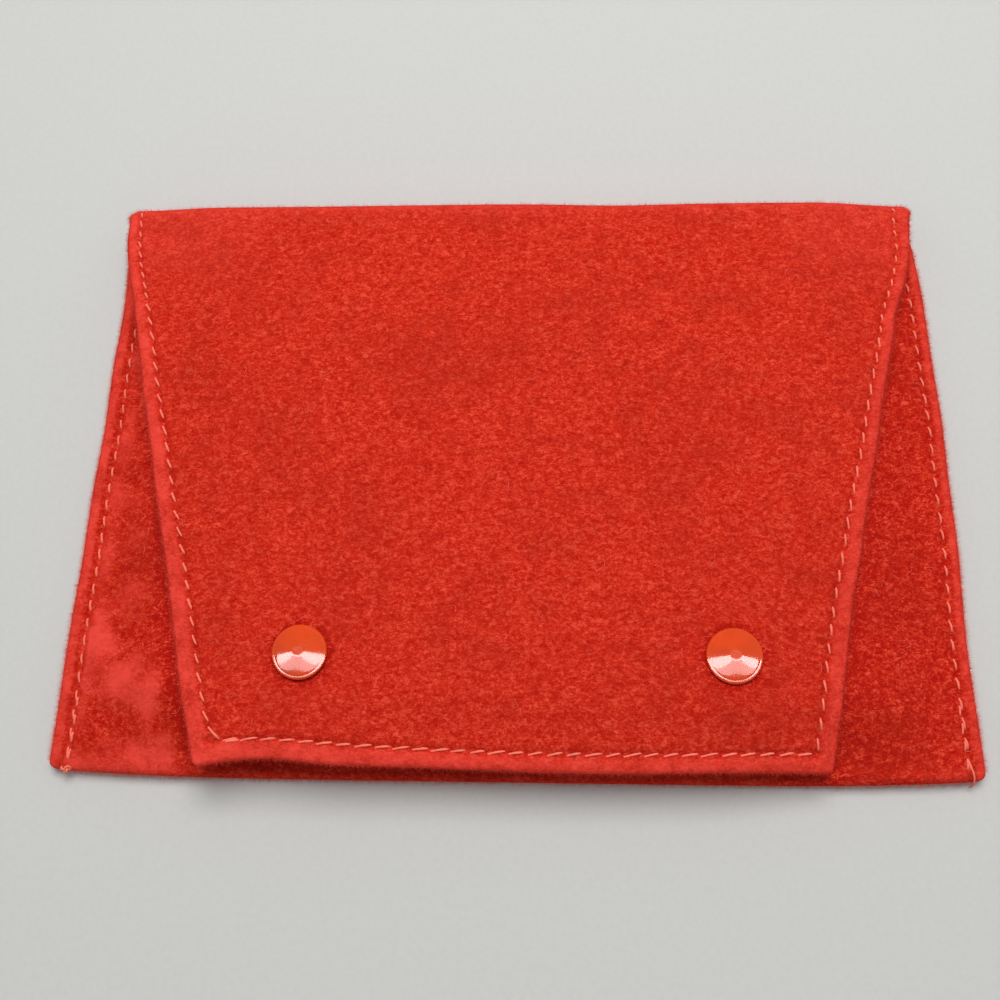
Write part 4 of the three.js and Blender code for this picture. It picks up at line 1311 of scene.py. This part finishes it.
def turned(profile, count):
    """Points and faces of a profile turned about the Z axis, closed on the axis or on itself"""
    on_axis = profile[0][0] == 0
    turn = np.linspace(0, 2 * math.pi, count, endpoint=False)
    ring_profile = [place for place in profile if place[0] > 0]
    points = [(r * math.cos(a), r * math.sin(a), z) for r, z in ring_profile for a in turn]
    faces = []
    rings = len(ring_profile)
    for i in range(rings - 1 if on_axis else rings):
        for j in range(count):
            k = (j + 1) % count
            n = (i + 1) % rings
            faces.append([i * count + j, n * count + j, n * count + k, i * count + k])
    if on_axis:
        points += [(0, 0, profile[0][1]), (0, 0, profile[-1][1])]
        top, low, last = len(points) - 2, len(points) - 1, (rings - 1) * count
        faces += [[top, j, (j + 1) % count] for j in range(count)]
        faces += [[low, last + (j + 1) % count, last + j] for j in range(count)]
    return np.array(points), faces


class POUCH_OT_stage(Operator):
    """Plain floor, soft light and the camera"""

    bl_idname = "pouch.stage"
    bl_label = "Stage"

    floor_reach = 3.0
    world_strength = 0.37
    lamp_place = (0.03, 0.27, 0.68)
    lamp_size = (0.42, 0.42)
    lamp_power = 4.7
    # Name, place along Y, depth and power of each card
    cards = (("bright_card", -0.13, 0.34, 42.0), ("pale_card", -0.41, 0.22, 12.0))
    card_height = 0.8
    card_width = 2.4
    camera_place = Vector((6.96, -70.98, 203.39)) * MM
    camera_aim = Vector((-2.31, -5.39, 0)) * MM
    camera_roll = math.radians(-7.48)
    camera_lens = 38.99

    def execute(self, context):
        self.floor(context)
        self.lights(context)
        self.camera(context)
        return {"FINISHED"}

    def floor(self, context):
        reach = self.floor_reach
        points = [(-reach, -reach, 0), (reach, -reach, 0), (reach, reach, 0), (-reach, reach, 0)]
        finish = Finish("floor", {"Roughness": 0.85, "Specular IOR Level": 0.2})
        grain = finish.noise(finish.place(), 900.0, 3.0, 0.6)
        finish.two_tone(grain, context.scene.pouch_finishes.floor, 0.985, 0.35, 0.65)
        floor = new_piece("floor", points, [[0, 1, 2, 3]], finish.material)

    def lights(self, context):
        """Even white world, one soft lamp, and two cards that only glossy surfaces see"""
        world = bpy.data.worlds.new("studio")
        context.scene.world = world
        world.use_nodes = True
        sky = world.node_tree.nodes["Background"]
        sky.inputs["Color"].default_value = (1.0, 1.0, 1.0, 1)
        sky.inputs["Strength"].default_value = self.world_strength
        place, size, power = self.lamp_place, self.lamp_size, self.lamp_power
        lamp = self.lamp(context, "overhead", place, (0, 0, 0), size, power)
        lamp.visible_glossy = False
        for name, y, depth, power in self.cards:
            place, size = (0, y, self.card_height), (self.card_width, depth)
            card = self.lamp(context, name, place, (0, y, 0), size, power)
            card.visible_diffuse = False

    def lamp(self, context, name, place, aim, size, power):
        data = bpy.data.lights.new(name, "AREA")
        data.shape = "RECTANGLE"
        data.size, data.size_y = size
        data.energy = power
        lamp = bpy.data.objects.new(name, data)
        context.scene.collection.objects.link(lamp)
        lamp.location = place
        ahead = Vector(aim) - Vector(place)
        lamp.rotation_euler = ahead.to_track_quat("-Z", "Y").to_euler()
        return lamp

    def camera(self, context):
        ahead = (self.camera_aim - self.camera_place).normalized()
        right = ahead.cross(Vector((0, 0, 1))).normalized()
        up = right.cross(ahead)
        cos, sin = math.cos(self.camera_roll), math.sin(self.camera_roll)
        axes = Matrix((right * cos + up * sin, up * cos - right * sin, -ahead)).transposed()
        data = bpy.data.cameras.new("camera")
        data.lens = self.camera_lens
        data.sensor_width = 36
        data.clip_start = 0.005
        camera = bpy.data.objects.new("camera", data)
        camera.matrix_world = Matrix.Translation(self.camera_place) @ axes.to_4x4()
        context.scene.collection.objects.link(camera)
        context.scene.camera = camera
        context.scene.view_settings.view_transform = "Standard"


OPERATORS = (POUCH_OT_pocket, POUCH_OT_flap, POUCH_OT_stitching, POUCH_OT_snaps, POUCH_OT_stage)


class POUCH_PT_sidebar(Panel):
    """Sizes, finishes and pieces of the pouch"""

    bl_idname = "POUCH_PT_sidebar"
    bl_label = "Velvet pouch"
    bl_space_type = "VIEW_3D"
    bl_region_type = "UI"
    bl_category = "Pouch"

    def draw(self, context):
        layout = self.layout
        for group in (context.scene.pouch_sizes, context.scene.pouch_finishes):
            column = layout.column(align=True)
            for name in group.__annotations__:
                column.prop(group, name)
        for operator in OPERATORS:
            layout.operator(operator.bl_idname)


CLASSES = (PouchSizes, PouchFinishes, *OPERATORS, POUCH_PT_sidebar)


def register():
    for cls in CLASSES:
        bpy.utils.register_class(cls)
    bpy.types.Scene.pouch_sizes = PointerProperty(type=PouchSizes)
    bpy.types.Scene.pouch_finishes = PointerProperty(type=PouchFinishes)


def unregister():
    del bpy.types.Scene.pouch_finishes
    del bpy.types.Scene.pouch_sizes
    for cls in reversed(CLASSES):
        bpy.utils.unregister_class(cls)


def main():
    register()
    bpy.ops.pouch.stage()
    bpy.ops.pouch.pocket()
    bpy.ops.pouch.flap()
    bpy.ops.pouch.stitching()
    bpy.ops.pouch.snaps()


if __name__ == "__main__":
    main()
